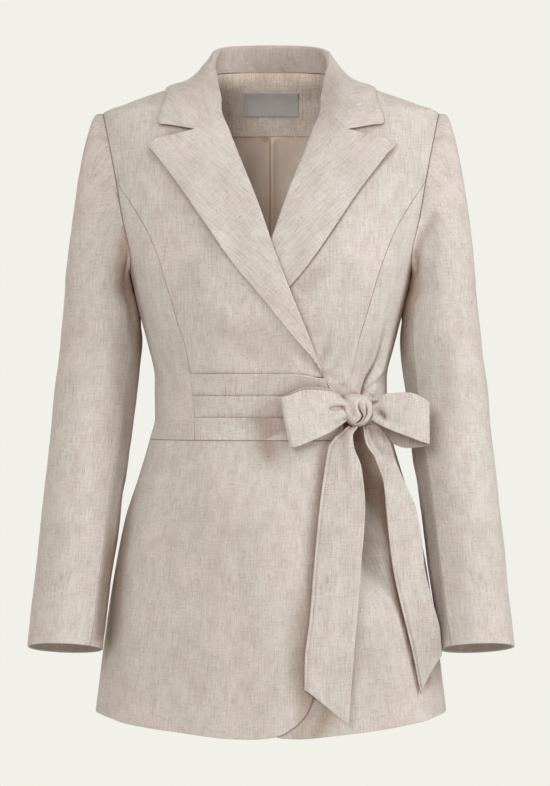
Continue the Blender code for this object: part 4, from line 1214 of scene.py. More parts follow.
# Tucks under the facing: where each begins across, and how far it leans over its height
TOP_TUCKS = ((-62, 3), (-44, -4), (-30, 3), (22, -3), (36, 4), (57, -3))
TUCK = {"deep": 1.1, "wide": 4.0, "tall": 16, "lean_over": 20}


def turned_in(plane, inset):
    """A grid inside the back that is read from the front, where it shows."""
    return moved(back(plane)[:, ::-1], -inset)[:, ::-1]


def neck_facing():
    seam = neck_back()[:-1]
    top = np.concatenate([seam[:0:-1] * (-1, 1), seam])
    bottom = straight((-FACING_HALF, FACING_END), (FACING_HALF, FACING_END), len(top) - 1)
    plane = ruled(bottom, top, FACING_ROWS)
    rise = np.linspace(0, 1, FACING_ROWS + 1)[:, None]
    inset = FACING_INSET - (FACING_INSET - FACING_SEWN) * ramp(*FACING_RISE, rise)
    return turned_in(plane, inset), plane


def neck_label():
    columns, rows = LABEL_STEPS
    across = np.linspace(-LABEL["half_width"], LABEL["half_width"], columns + 1)
    plane = np.stack(np.meshgrid(across, np.linspace(LABEL["bottom"], LABEL["top"], rows + 1)), -1)
    return turned_in(plane, LABEL_INSET), plane


def lining_back():
    share, rise = np.linspace(-1, 1, LINING_COLUMNS + 1), np.linspace(0, 1, LINING_ROWS + 1)[:, None]
    side = LINING.read("half_width", LINING_END + rise * (LINING_TIP[1] - LINING_END))
    top = LINING_TOP.read("height", np.abs(share) * LINING_TIP[0])
    plane = np.stack([share * side, LINING_END * (1 - rise) + top * rise], -1)
    return turned_in(plane, LINING_INSET), plane


def inside_back(facing, satin, woven):
    points, plane = neck_facing()
    relief = creased(plane, (), size=50.0, rough=0.25, seed=5)
    shell("neck_facing", points, plane, relief, LINING_CLOTH, facing, (SEAM, SEAM, FREE, SOFT))
    points, plane = neck_label()
    shell("neck_label", points, plane, 0 * plane[..., 0], LABEL_CLOTH, woven, (FREE,) * 4)
    points, plane = lining_back()
    relief = LINING_PUFF * creased(plane, LINING_FOLDS, size=60.0, rough=0.3, seed=6)
    for across, lean in TOP_TUCKS:
        line = across + lean * (plane[..., 1] - FACING_END) / -TUCK["lean_over"]
        tall = bump(FACING_END, TUCK["tall"], plane[..., 1])
        relief -= TUCK["deep"] * bump(line, TUCK["wide"], plane[..., 0]) * tall
    shell("lining_back", points, plane, relief, LINING_CLOTH, satin, (PLAIN, PLAIN, FREE, FREE))


# ---- sleeves

SLEEVE = Table(
    "height across half_width half_depth forward lean splay",
    (-240, 194.0, 40.0, 58, 0, 0, 0),
    (-262, 192.0, 44.2, 59, 0, 0, 0),
    (-301, 193.6, 46.8, 58, 1, 1, 0),
    (-356, 199.5, 46.7, 54, 5, 6, 0.03),
    (-410, 204.4, 45.9, 50.5, 14, 11, 0.06),
    (-464, 210.9, 44.2, 47.5, 26, 13, 0.07),
    (-517, 216.6, 43.7, 45.5, 38, 13, 0.06),
    (-580, 223, 42.7, 43.5, 52, 13, 0.05),
    (CUFF, 229.3, 41.8, 42, 65, 13, 0.035),
)

CAP_END = (0.05, 0, -1.1)  # how it runs into the arm, as shares of its height
# How the cloth of the sleeve head leaves the armhole, by angle round the arm from its top
CAP = Table(
    "angle out forward down",
    (0, 86, 0, -14),
    (45, 66, 14, -26),
    (90, 30, 16, -30),
    (135, 12, 8, -20),
    (180, 3, 0, -10),
)
# The line down the outside of the arm, from the shoulder's tip
SLEEVE_HEAD = Table("height across", (SHOULDER, 192), (-40, 198), (-43, 201), (-54.7, 205.2),
                    (-82, 212), (-123, 218.9), (-178, 226.9), (-240, 234))
HEAD_WIDTH = 34.0  # degrees round the arm from that line over which the cap follows it
ROUND_ARM = {"shoulder": 0, "join": 78, "underarm": 180}

FRONT_SEAM_STEPS = 23
SEAM_COLUMNS = {"front": ARMHOLE_STEPS + FRONT_SEAM_STEPS, "back": ARMHOLE_STEPS + 2 * UNDERARM_STEPS}
SLEEVE_RINGS = 84
CAP_ROWS = 30
CAP_CROWD = 1.5
SLEEVE_CLEAR = 0.7  # between the arm's inner side and the body
PUSH_SPREAD = 5  # rings over which that push is evened out
SLEEVE_ARC = 0.78
SEAM_HIDDEN = (-190, -165, -228, -268)  # heights between which the sleeve's seams fade
SLEEVE_FOLDS = {
    "left": (
        (-5.5, 7, 8, 0.3, 0.25, 50, -130, 68, -158, 88, -184, 106, -208, 124, -236),
        (2.6, 8, 7, 0.3, 0.4, 38, -146, 54, -176, 74, -206, 92, -234),
        (-1.2, 8, 10, 0.3, 0.4, 40, -356, 64, -392, 84, -414),
        (1.0, 9, 9, 0.3, 0.5, 52, -390, 74, -424, 96, -440),
        (-0.9, 7, 9, 0.4, 0.4, 96, -470, 70, -502, 44, -520),
        (0.9, 12, 10, 0.4, 0.4, 36, -540, 40, -590, 38, -630),
    ),
    "right": (
        (-4.5, 10, 8, 0.35, 0.4, 104, -168, 110, -206, 114, -256, 117, -330),
        (1.6, 8, 9, 0.3, 0.4, 84, -160, 88, -206, 92, -256, 94, -310),
        (1.8, 5, 6, 0.3, 0.4, 56, -122, 72, -138, 90, -156),
        (-1.5, 5, 6, 0.3, 0.4, 60, -134, 74, -150, 90, -168),
        (-1.1, 10, 8, 0.3, 0.5, 36, -196, 56, -236, 66, -290),
        (-1.2, 9, 8, 0.3, 0.4, 98, -392, 70, -416, 44, -428),
        (1.0, 9, 9, 0.4, 0.4, 94, -420, 64, -446, 40, -454),
        (-0.8, 9, 11, 0.4, 0.4, 46, -520, 52, -566, 50, -612),
    ),
}
UNDER_FOLDS = {
    "left": (
        (1.3, 4, 3.5, 0.2, 0.1, 107, -290, 107, -420, 107, -636),
        (-2.2, 8, 9, 0.25, 0.1, 120, -280, 121, -420, 120, -636),
        (-0.8, 7, 8, 0.3, 0.4, 128, -250, 160, -286, 196, -300),
        (-0.8, 8, 9, 0.3, 0.4, 118, -396, 164, -420, 204, -430),
        (0.6, 9, 9, 0.3, 0.4, 116, -424, 166, -446, 200, -452),
    ),
    "right": (
        (1.2, 4, 3.5, 0.2, 0.1, 107, -300, 107, -430, 107, -636),
        (-2.0, 8, 9, 0.25, 0.1, 120, -290, 121, -430, 120, -636),
        (-0.8, 8, 7, 0.3, 0.4, 126, -268, 166, -296, 202, -322),
        (-0.7, 9, 9, 0.3, 0.4, 116, -412, 160, -430, 196, -446),
        (0.6, 9, 9, 0.3, 0.4, 120, -440, 164, -462, 204, -470),
    ),
}


def sleeve_angles():
    upper = np.linspace(ROUND_ARM["shoulder"], ROUND_ARM["join"], ARMHOLE_STEPS + 1)
    half = chain(upper, np.linspace(ROUND_ARM["join"], ROUND_ARM["underarm"], UNDERARM_STEPS + 1))
    return chain(half, 360 - half[::-1])


def armhole_loop():
    """The armhole from the shoulder down its front, under the arm and up its back."""
    half = chain(armhole_top()[::-1], armhole_low())
    loop = chain(front(half), back(half[::-1]))
    loop[[0, -1], 1] = 0
    return loop


def sleeve_ring(height, angles):
    """One ring of the arm, and how far each of its points must go to stay clear of the body."""
    across, wide, deep, forward, lean, splay = [SLEEVE.read(name, height) for name in SLEEVE.names[1:]]
    x = wide * np.cos(np.radians(angles))
    y = -deep * np.sin(np.radians(angles))
    z = height - y * math.tan(math.radians(lean)) + x * splay
    half, front_depth, back_depth, square = ring(z)
    depth = np.where(y - forward < 0, front_depth, back_depth)
    room = np.clip(1 - np.abs((y - forward) / depth) ** square, 0, 1)
    body = half * room ** (1 / square)
    push = np.maximum(body + SLEEVE_CLEAR - across - x, 0)
    return np.stack([across + x, y - forward, z], -1), push


def sleeve():
    """The whole sleeve: rows down the arm, columns round it from its top by the front."""
    angles = sleeve_angles()
    first = SLEEVE.rows[-1, 0]
    rings, push = (np.array(parts) for parts in zip(*(
        sleeve_ring(height, angles) for height in np.linspace(first, CUFF, SLEEVE_RINGS))))
    even = np.array([push[max(k - PUSH_SPREAD, 0):k + PUSH_SPREAD + 1].mean(axis=0)
                     for k in range(SLEEVE_RINGS)])
    rings[..., 0] += np.maximum(push, even)
    start, end = armhole_loop(), rings[0]
    off_top = np.minimum(angles, 360 - angles)
    leave = np.stack([CAP.read(name, off_top) for name in ("out", "forward", "down")], -1)
    leave[:, 1] *= np.where(angles > 180, 1, -1)
    arrive = (start[:, 2:] - end[:, 2:]) * CAP_END
    t = (np.linspace(0, 1, CAP_ROWS + 1)[:-1] ** CAP_CROWD)[:, None, None]
    cap = ((1 + 2 * t) * (1 - t) ** 2 * start + t * (1 - t) ** 2 * leave
           + t * t * (3 - 2 * t) * end + t * t * (t - 1) * arrive)
    head = SLEEVE_HEAD.read("across", cap[1:, :, 2]) - cap[1:, :, 0]
    cap[1:, :, 0] += head * bump(0, HEAD_WIDTH, off_top)
    whole = np.concatenate([cap, rings])
    steps = np.linalg.norm(np.diff(whole[:CAP_ROWS + 1], axis=0), axis=-1)
    above = np.cumsum(steps[::-1], axis=0)[::-1]
    down = whole[..., 2].copy()
    down[:CAP_ROWS] = rings[0, :, 2] + above
    return whole, np.stack([angles * SLEEVE_ARC + 0 * down, down], -1)


def sleeve_top(_layer):
    points, plane = (grid[:, :-1] for grid in sleeve())
    columns = np.arange(SEAM_COLUMNS["back"] - points.shape[1], SEAM_COLUMNS["front"] + 1)
    plane = plane[:, columns] - np.where(columns < 0, 360 * SLEEVE_ARC, 0)[None, :, None] * (1, 0)
    return points[:, columns], plane


def sleeve_under(_layer):
    columns = np.s_[:, SEAM_COLUMNS["front"]:SEAM_COLUMNS["back"] + 1]
    points, plane = sleeve()
    return points[columns], plane[columns]


def below_armpit(plane, _side):
    """0 in the hollow of the armpit, where no seam shows, and 1 well below and above it."""
    return np.maximum(ramp(SEAM_HIDDEN[0], SEAM_HIDDEN[1], plane[..., 1]),
                      ramp(-SEAM_HIDDEN[2], -SEAM_HIDDEN[3], -plane[..., 1]))


def sleeves(linen):
    edges = (SOFT, SOFT, SOFT, FREE)
    ways = {"shown": below_armpit, "sewn": ("bottom",), "size": 80.0, "rough": 0.7}
    folds = {side: SLEEVE_FOLDS[side] + UNDER_FOLDS[side] for side in SLEEVE_FOLDS}
    both("sleeve_top", sleeve_top, linen, CLOTH, edges, folds, **ways)
    both("sleeve_under", sleeve_under, linen, CLOTH, edges, folds, **ways)


# ---- tie

KNOT = {"x": 97.0, "y": -94.0, "z": -376.0, "wide": 29.0, "deep": 31.0, "tall": 36.0, "taper": 0.25}
STRAP = {"bottom": -386.0, "top": -345.0, "knot_bottom": (82.8, -91, -384), "knot_top": (82.8, -92, -366)}
# Each loop goes out from the knot, folds at its end and comes back behind itself
LOOP_RIGHT = Table(
    "along x y top bottom",
    (0.0, 83.6, -104, -365, -388),
    (0.15, 66, -117, -355, -399),
    (0.32, 40, -127, -353, -405),
    (0.46, 13, -130, -361, -411),
    (0.5, 9.5, -126, -361, -411),
    (0.54, 13, -121.5, -360, -410),
    (0.68, 40, -117.5, -350, -402),
    (0.85, 66, -110.5, -353, -396),
    (1.0, 82.9, -98, -366, -387),
)
LOOP_LEFT = Table(
    "along x y top bottom",
    (0.0, 110.8, -103, -364, -387),
    (0.15, 128, -110, -357, -396),
    (0.32, 150, -110, -356, -404),
    (0.46, 171, -104, -364, -411),
    (0.5, 174.5, -98, -367, -412),
    (0.54, 171, -91, -364, -414),
    (0.68, 150, -85, -357, -417),
    (0.85, 128, -86, -358, -409),
    (1.0, 111.3, -93, -366, -390),
)

# Each tail: its edges towards the wearer's right and left, how far it stands off the form there,
# and how far its left edge is turned back behind the right one
TAIL_RIGHT = Table(
    "height right left stand turn",
    (-716, 36, 84, 3.5, 0),
    (-650, 36.5, 89, 3.5, 0),
    (-600, 42, 93.5, 3.5, 0),
    (-545, 46.5, 98, 4, 2),
    (-480, 53, 102.5, 5, 2),
    (-437, 59, 98.5, 6, 0),
    (-415, 63, 91, 8, 0),
    (-403, 72, 90, 9, 0),
    (-393.5, 85, 95, 9, 0),
)
TAIL_LEFT = Table(
    "height right left stand turn",
    (-690, 166, 190, 6, 0),
    (-647, 157, 189, 6, 0),
    (-620, 150.5, 187.5, 6, 4),
    (-588, 142.5, 179.5, 6, 9),
    (-550, 134.5, 171, 6, 16),
    (-520, 130.5, 168, 6, 17),
    (-484, 127, 161.5, 9, 15),
    (-457, 124.5, 149.5, 13, 10),
    (-428, 113, 137, 19, 4),
    (-410, 103, 131, 22, 0),
    (-392.4, 101, 120, 21, 0),
)
TAIL_RIGHT_ENDS = (-677, -716)  # heights of the tail's right and left corners
TAIL_LEFT_ENDS = (-690, -647)

LOOP_STEPS = 160
LOOP_ROWS = 60
LOOP_LENGTH = 150.0
LOOP_HANG = (0.1, 0.48)  # shares of its length over which a loop's lower edge comes to hang
PINCH_SHADE = 0.95
LOOP_INSIDE = 0.3  # how deep in the shade the inside of a loop is
PINCH_DEPTH = (2.6, 6.5)  # of a loop's crease where its shade begins, and is full
TAIL_COLUMNS = 44
TAIL_ROWS = 110
# The groove beside a tail's turned edge, and the ridge of the turning: depth, place and width
WELTS = ((1.3, 3.4, 1.3), (-0.65, 1.2, 1.6))
TAIL_PROUD = {"rise": 8.0, "height": -445.0, "tall": 75.0}  # of a tail's inner edge below the knot
STRAP_GRID = (14, 16)
KNOT_GRID = (190, 120)
# How far across and how far down the lower edge of each loop hangs
LOOP_SLANTS = {"right": (11.0, 5.0), "left": (0.5, 1.0)}
LOOP_CREASES = {
    "right": (
        (-9.0, 1.5, 1.9, 0.3, 0.35, 2, -372.4, 12, -373, 27, -374),
        (2.4, 3.5, 4, 0.02, 0.6, 1, -370, 16, -367, 36, -364),
        (-1.8, 4, 4, 0.05, 0.6, 2, -366, 12, -360, 26, -356),
        (2.4, 4, 3.5, 0.02, 0.6, 1, -380, 14, -384, 36, -390),
        (-1.4, 4, 5, 0.05, 0.6, 8, -379, 24, -383, 44, -386),
        (-1.2, 4, 4, 0.05, 0.5, 2, -385, 12, -393, 22, -399),
        (-1.6, 4, 4, 0.4, 0.02, 112, -372, 130, -374, 149, -376),
        (1.4, 5, 5, 0.4, 0.02, 108, -384, 130, -382, 149, -380),
    ),
    "left": (
        (-3.0, 1.4, 1.8, 0.02, 0.5, 0, -368, 5, -367, 11, -365),
        (-5.0, 4.5, 4.5, 0.3, 0.5, 3, -374, 13, -380, 26, -388),
        (1.8, 4, 4, 0.02, 0.6, 0, -373, 14, -371, 34, -367),
        (1.6, 4, 5, 0.02, 0.6, 1, -383, 14, -390, 34, -398),
        (-1.2, 4, 4, 0.05, 0.6, 14, -384, 34, -390, 52, -394),
        (-1.6, 4, 4, 0.4, 0.02, 108, -374, 130, -377, 149, -379),
    ),
}
TAIL_CREASES = {
    "right": (
        (-2.4, 4, 4.5, 0.02, 0.6, 78, -396, 76, -420, 76, -452),
        (2.0, 5, 4, 0.02, 0.6, 86, -396, 86, -426, 88, -478),
        (-1.6, 4, 5, 0.1, 0.6, 70, -404, 67, -432, 66, -480),
        (1.2, 7, 8, 0.3, 0.5, 72, -470, 66, -560, 62, -650),
    ),
    "left": (
        (-3.0, 2.8, 3.2, 0.02, 0.5, 110, -394, 114, -410, 120, -430),
        (1.8, 3.5, 4, 0.02, 0.5, 106, -396, 110, -414, 121, -446),
        (1.6, 4, 4, 0.05, 0.6, 118, -398, 124, -418, 134, -456),
        (-1.0, 6, 7, 0.3, 0.5, 146, -520, 154, -570, 164, -630),
    ),
}
# Folds on the face of the knot, in millimetres from its middle
KNOT_FOLDS = (
    (-3.6, 0.75, 0.9, 0.55, 0.15, 1, 15, 0.8, 7, 1.8, 0, 4.2, -5.4, 3, -9.5, 0, -13, -4, -15.4),
    (-2.6, 0.7, 0.9, 0.45, 0.15, 5, 12, 7, 5, 7.8, 0, 7, -6, 4, -11.4, -1, -15.6),
    (1.4, 1.4, 1.3, 0.3, 0.2, 4, 13, 4.4, 5, 5.6, -2, 5.8, -7, 2.6, -12.2, -3, -16),
    (1.5, 2.0, 2.0, 0.2, 0.2, 9.5, 12, 11, 4, 11.2, -3, 8.4, -10, 3, -15.4),
    (1.3, 2.0, 1.8, 0.3, 0.3, -3, 14, -2.4, 5, -0.6, -3, 0.6, -9),
    (-0.9, 1.5, 1.8, 0.3, 0.3, -9, 13, -7.2, 5, -5, -3, -2, -10),
    (1.2, 1.8, 2.0, 0.2, 0.3, -12, 10, -10.6, 2, -9, -7),
)
KNOT_POWER = 2.9  # how square the knot is
KNOT_SHIFT = 1.5
KNOT_SWELL = 1.26
KNOT_SHADE = (0.5, 3.2)  # depth of a fold where its shade begins, and is full
KNOT_FACE = (-0.1, 0.5)  # share of its depth in front of the middle where its folds begin, and are full
KNOT_POINT = (-0.1, 0.3)  # where it begins to narrow downwards, and the share of its width lost
KNOT_LEAN = 0.08
KNOT_BULGE = 0.3  # share of a fold's rise that goes sideways
KNOT_GRAIN = 30.0  # degrees that its weave is turned


def tie_strap():
    rows, columns = STRAP_GRID
    heights = np.linspace(STRAP["bottom"], STRAP["top"], rows + 1)
    edge = front(WRAP_EDGE.seam("right", heights), WRAP_LAYER) * (-1, 1, 1)
    edge = edge + (SEAM_GAP, 0, 0)
    end = straight(STRAP["knot_bottom"], STRAP["knot_top"], rows)
    share = np.linspace(0, 1, columns + 1)[None, :, None]
    points = edge[:, None] * (1 - share) + end[:, None] * share
    return points, points[..., (0, 2)]


def bow_loop(table, slant, sag):
    along = np.linspace(0, 1, LOOP_STEPS + 1)
    x, y = table.read("x", along), table.read("y", along)
    high, low = table.read("top", along), table.read("bottom", along)
    share = np.linspace(0, 1, LOOP_ROWS + 1)[:, None]
    out = ramp(*LOOP_HANG, np.minimum(along, 1 - along)) * (1 - share)
    z = low * (1 - share) + high * share
    plane = np.stack([along * LOOP_LENGTH + 0 * z, z], -1)
    return np.stack([x + slant * out, y + 0 * z, z - sag * out], -1), plane


def tail(table, ends, layer, lies):
    """Hangs from the knot in front of the skirt. One that lies on it stays clear all across."""
    top = table.rows[-1, 0]
    share = np.linspace(0, 1, TAIL_COLUMNS + 1)
    low = ends[0] * (1 - share) + ends[1] * share
    z = low + (top - low) * np.linspace(0, 1, TAIL_ROWS + 1)[:, None]
    right, left = table.read("right", z), table.read("left", z)
    x = right * (1 - share) + left * share
    tall = bump(TAIL_PROUD["height"], TAIL_PROUD["tall"], z)
    proud = TAIL_PROUD["rise"] * tall * (share if lies else 1 - share)
    y = on_front(right, z) - layer - table.read("stand", z) - proud + share * table.read("turn", z)
    if lies:
        y = np.minimum(y, on_front(x, z) - layer - TIE_LIFT)
    return np.stack([x, y, z], -1), np.stack([x, z], -1)


def knot(linen):
    """Turns of the tie drawn tight round each other, with a groove between each two."""
    columns, rows = KNOT_GRID
    lean = np.linspace(0, math.pi, rows + 1)[:, None]
    turn = np.linspace(0, 2 * math.pi, columns + 1)[:-1]
    x, y, z = (np.sign(v) * np.abs(v) ** (2 / KNOT_POWER) for v in (
        np.sin(lean) * np.cos(turn), -np.sin(lean) * np.sin(turn), np.cos(lean) + 0 * turn))
    start, lost = KNOT_POINT
    x = x * (1 - lost * ramp(start, 1, -z)) + KNOT_LEAN * ramp(0, 1, -z)
    half = np.array([KNOT["wide"] / 2, KNOT["tall"] / 2])
    face = np.stack([x, z], -1) * half
    relief = creased(face, KNOT_FOLDS, size=16.0, rough=0.25, seed=9) * ramp(*KNOT_FACE, -y)
    points = np.stack([
        KNOT["x"] - KNOT_SHIFT + KNOT_SWELL * KNOT["wide"] / 2 * x * (1 + relief * KNOT_BULGE / half[0]),
        KNOT["y"] + KNOT["deep"] / 2 * y * (1 + relief / half[0]),
        KNOT["z"] + KNOT["tall"] / 2 * z * (1 - KNOT["taper"] * x / 2),
    ], -1)
    grain = np.stack([turn * KNOT["wide"] / 2 + 0 * z, KNOT["tall"] * lean / math.pi + 0 * z], -1)
    verts, grain, shade = (
        np.concatenate([grid[:1, 0], grid[1:-1].reshape(-1, *grid.shape[2:]), grid[-1:, 0]])
        for grid in (points, grain, ramp(*KNOT_SHADE, -relief)))
    index = 1 + np.arange((rows - 1) * columns).reshape(rows - 1, columns)
    after = np.roll(index, -1, axis=1)
    quads = np.stack([index[1:], after[1:], after[:-1], index[:-1]], -1).reshape(-1, 4)
    top = np.stack([index[0], after[0], 0 * index[0]], -1)
    low = np.stack([after[-1], index[-1], 0 * index[0] + len(verts) - 1], -1)
    faces = [*quads.tolist(), *top.tolist(), *low.tolist()]
    mesh_piece("knot", verts, faces, grain, KNOT_GRAIN, linen, ["knot"], shade)


def tie(linen):
    points, plane = tie_strap()
    shell("tie_strap", points, plane, 0 * plane[..., 0], TIE_CLOTH, linen, (PLAIN, PLAIN, FREE, FREE))
    for side, table in (("right", LOOP_RIGHT), ("left", LOOP_LEFT)):
        points, plane = bow_loop(table, *LOOP_SLANTS[side])
        if side == "right":
            points, plane = points[:, ::-1], plane[:, ::-1]
        relief = creased(plane, LOOP_CREASES[side], size=34.0, rough=0.35, seed=len(side))
        shell(f"bow_loop_{side}", points, plane, relief, TIE_CLOTH, linen, (PLAIN, PLAIN, FREE, FREE),
              shade=PINCH_SHADE * ramp(*PINCH_DEPTH, -relief), inner_shade=LOOP_INSIDE)
    for side, table, ends, layer, lies in (
        ("right", TAIL_RIGHT, TAIL_RIGHT_ENDS, WRAP_LAYER, True),
        ("left", TAIL_LEFT, TAIL_LEFT_ENDS, 0, False),
    ):
        points, plane = tail(table, ends, layer, lies)
        relief = creased(plane, TAIL_CREASES[side], size=60.0, rough=0.35, seed=2 + len(side))
        for deep, place, wide in WELTS:
            relief = relief - deep * bump(place, wide, from_edges(points)["left"])
        shell(f"tail_{side}", points, plane, relief, TIE_CLOTH, linen, (FREE, FREE, FREE, PLAIN))
    knot(linen)


# ---- materials

LINEN_PALE = ((0.735, 0.688, 0.676), (0.705, 0.698, 0.662))  # its dye is nowhere quite even
LINEN_DARK = (0.46, 0.398, 0.352)
SLUB = (0.30, 0.225, 0.175)
FLECK = (0.15, 0.10, 0.075)
# The facing's linen is a paler, browner copy of the linen: painted light where the collar keeps the lamps
# off, and the brown of painted shade inside the neck
FACING_PALE_PAINTED_LIGHT = ((0.96, 0.83, 0.75), (0.94, 0.83, 0.74))
FACING_DARK_PAINTED_SHADE = (0.46, 0.37, 0.30)
# Two tones of each plain cloth, and of its ribs
SATIN = ((0.78, 0.655, 0.555), (0.70, 0.575, 0.48), (0.56, 0.45, 0.37))
SATIN_GLOSS = (0.38, 0.48)
LABEL_GREY = ((0.60, 0.595, 0.59), (0.55, 0.545, 0.54), (0.42, 0.415, 0.41))
HOLLOW = 0.024  # reach of the painted shade in narrow places, in metres
HOLLOW_OPEN = (0.08, 0.82)  # share of open sky at which that shade is full, and ends
HOLLOW_SAMPLES = 6
# Tints of painted shade: in narrow places, lighter on the facing, and where the shade attribute is full
PAINTED_HOLLOW_SHADE = (0.64, 0.44, 0.33)
FACING_PAINTED_HOLLOW_SHADE = (0.92, 0.86, 0.82)
PAINTED_SHADE_TINT = (0.43, 0.28, 0.19)
WHITE = (1.0, 1.0, 1.0)
SPECULAR = 0.25
SHEEN_ROUGHNESS = 0.4
# Layers of the linen: features to a metre each way, detail, roughness and place of its noise, then
# the noise's values between which it goes from one strength to another
LINEN_LAYERS = {
    "warp": ((1150, 62), 3.0, 0.62, (0, 0, 0), 0.34, 0.68, 0.0, 1.25),
    "weft": ((85, 1150), 3.0, 0.62, (3, 7, 0), 0.34, 0.68, 0.0, 0.8),
    "thick_warp": ((520, 24), 2.0, 0.6, (11, 2, 0), 0.40, 0.70, 0.0, 1.2),
    "thick_weft": ((34, 560), 2.0, 0.6, (5, 13, 0), 0.42, 0.72, 0.0, 0.8),
    "spots": ((640, 420), 3.0, 0.7, (29, 5, 0), 0.45, 0.75, 0.0, 0.2),
    "cloud": ((52, 36), 3.0, 0.6, (2, 2, 0), 0.35, 0.7, -0.08, 0.15),
    "broad": ((11, 9), 2.0, 0.5, (8, 1, 0), 0.35, 0.65, -0.04, 0.05),
    "tint": ((17, 12), 3.0, 0.55, (51, 3, 0), 0.36, 0.64, 0.0, 1.0),
    "long_warp": ((820, 60), 2.0, 0.55, (41, 19, 0), 0.58, 0.76, 0.0, 1.0),
    "long_weft": ((72, 820), 2.0, 0.55, (23, 37, 0), 0.60, 0.78, 0.0, 1.0),
    "lengthways": ((760, 330), 1.0, 0.4, (21, 9, 0), 0.73, 0.79, 0.0, 1.0),
    "crossways": ((330, 760), 1.0, 0.4, (17, 31, 0), 0.74, 0.79, 0.0, 1.0),
}
# Height in metres and strength of each weave's relief
LINEN_RELIEF = (0.00025, 0.5)
SATIN_RELIEF = (0.00008, 0.4)
LABEL_RELIEF = (0.0001, 0.5)
LINEN_SHARES = {"threads": 0.27, "thick": 0.14, "slubs": 0.5, "flecks": 0.75}


class Look:
    """A material's nodes, with a few shorthands for building them."""

    def __init__(self, name, roughness, sheen=0.0):
        self.made = bpy.data.materials.new(name)
        self.made.use_nodes = True
        self.tree = self.made.node_tree
        self.shader = self.tree.nodes["Principled BSDF"]
        self.shader.inputs["Roughness"].default_value = roughness
        self.shader.inputs["Sheen Weight"].default_value = sheen
        self.shader.inputs["Sheen Roughness"].default_value = SHEEN_ROUGHNESS
        self.shader.inputs["Specular IOR Level"].default_value = SPECULAR
        grain = self.tree.nodes.new("ShaderNodeUVMap")
        grain.uv_map = "weave"
        self.grain = grain.outputs["UV"]

    def put(self, socket, value):
        if isinstance(value, bpy.types.NodeSocket):
            self.tree.links.new(value, socket)
        else:
            socket.default_value = value

    def noise(self, stretch, detail=2.0, rough=0.5, shift=(0, 0, 0)):
        """Noise whose features are 1 / stretch metres long each way."""
        place = self.tree.nodes.new("ShaderNodeMapping")
        self.put(place.inputs["Vector"], self.grain)
        place.inputs["Scale"].default_value = (*stretch, 1)
        place.inputs["Location"].default_value = shift
        made = self.tree.nodes.new("ShaderNodeTexNoise")
        self.put(made.inputs["Vector"], place.outputs["Vector"])
        made.inputs["Scale"].default_value = 1.0
        made.inputs["Detail"].default_value = detail
        made.inputs["Roughness"].default_value = rough
        return made.outputs["Fac"]

    def span(self, value, low, high, to_low=0.0, to_high=1.0):
        made = self.tree.nodes.new("ShaderNodeMapRange")
        made.interpolation_type = "SMOOTHSTEP"
        for name, setting in (("Value", value), ("From Min", low), ("From Max", high),
                              ("To Min", to_low), ("To Max", to_high)):
            self.put(made.inputs[name], setting)
        return made.outputs["Result"]

    def sum(self, operation, a, b):
        made = self.tree.nodes.new("ShaderNodeMath")
        made.operation = operation
        self.put(made.inputs[0], a)
        self.put(made.inputs[1], b)
        return made.outputs["Value"]

    def mix(self, factor, a, b, blend="MIX"):
        made = self.tree.nodes.new("ShaderNodeMix")
        made.data_type = "RGBA"
        made.blend_type = blend
        self.put(made.inputs["Factor"], factor)
        self.put(made.inputs["A"], (*a, 1) if isinstance(a, tuple) else a)
        self.put(made.inputs["B"], (*b, 1) if isinstance(b, tuple) else b)
        return made.outputs["Result"]

    def shaded(self, base, hollow=PAINTED_HOLLOW_SHADE):
        """The colour with painted shade: deeper and warmer in folds, shadows and narrow places."""
        sky = self.tree.nodes.new("ShaderNodeAmbientOcclusion")
        sky.samples = HOLLOW_SAMPLES
        sky.inputs["Distance"].default_value = HOLLOW
        drawn = self.tree.nodes.new("ShaderNodeAttribute")
        drawn.attribute_name = "shade"
        # Painted shade: the shade attribute mixes in a brown tint, and occlusion darkens narrow places
        lit = self.mix(drawn.outputs["Fac"], base, self.mix(1.0, base, PAINTED_SHADE_TINT, "MULTIPLY"))
        narrow = self.mix(self.span(sky.outputs["AO"], *HOLLOW_OPEN), hollow, WHITE)
        return self.mix(1.0, lit, narrow, "MULTIPLY")

    def bump(self, height, depth, strength):
        made = self.tree.nodes.new("ShaderNodeBump")
        made.inputs["Distance"].default_value = depth
        made.inputs["Strength"].default_value = strength
        self.put(made.inputs["Height"], height)
        self.put(self.shader.inputs["Normal"], made.outputs["Normal"])


def slub_linen(name, pale, dark, hollow=PAINTED_HOLLOW_SHADE):
    """Plain weave of uneven threads both ways, with thick slubs and dark flecks."""
    look = Look(name, roughness=0.9, sheen=0.3)
    layer = {key: look.span(look.noise(*row[:4]), *row[4:]) for key, row in LINEN_LAYERS.items()}
    threads = look.sum("ADD", layer["warp"], layer["weft"])
    thick = look.sum("ADD", layer["thick_warp"], layer["thick_weft"])
    tone = look.sum("MULTIPLY", threads, LINEN_SHARES["threads"])
    tone = look.sum("ADD", tone, look.sum("MULTIPLY", thick, LINEN_SHARES["thick"]))
    for key in ("spots", "cloud", "broad"):
        tone = look.sum("ADD", tone, layer[key])
    base = look.mix(tone, look.mix(layer["tint"], *pale), dark)
    slubs = look.sum("MAXIMUM", layer["long_warp"], layer["long_weft"])
    base = look.mix(look.sum("MULTIPLY", slubs, LINEN_SHARES["slubs"]), base, SLUB)
    flecks = look.sum("MAXIMUM", layer["lengthways"], layer["crossways"])
    base = look.mix(look.sum("MULTIPLY", flecks, LINEN_SHARES["flecks"]), base, FLECK)
    # The weave's colour, with painted shade in folds, seams, shadows and narrow places
    look.put(look.shader.inputs["Base Color"], look.shaded(base, hollow))
    look.bump(look.sum("ADD", threads, thick), *LINEN_RELIEF)
    return look.made


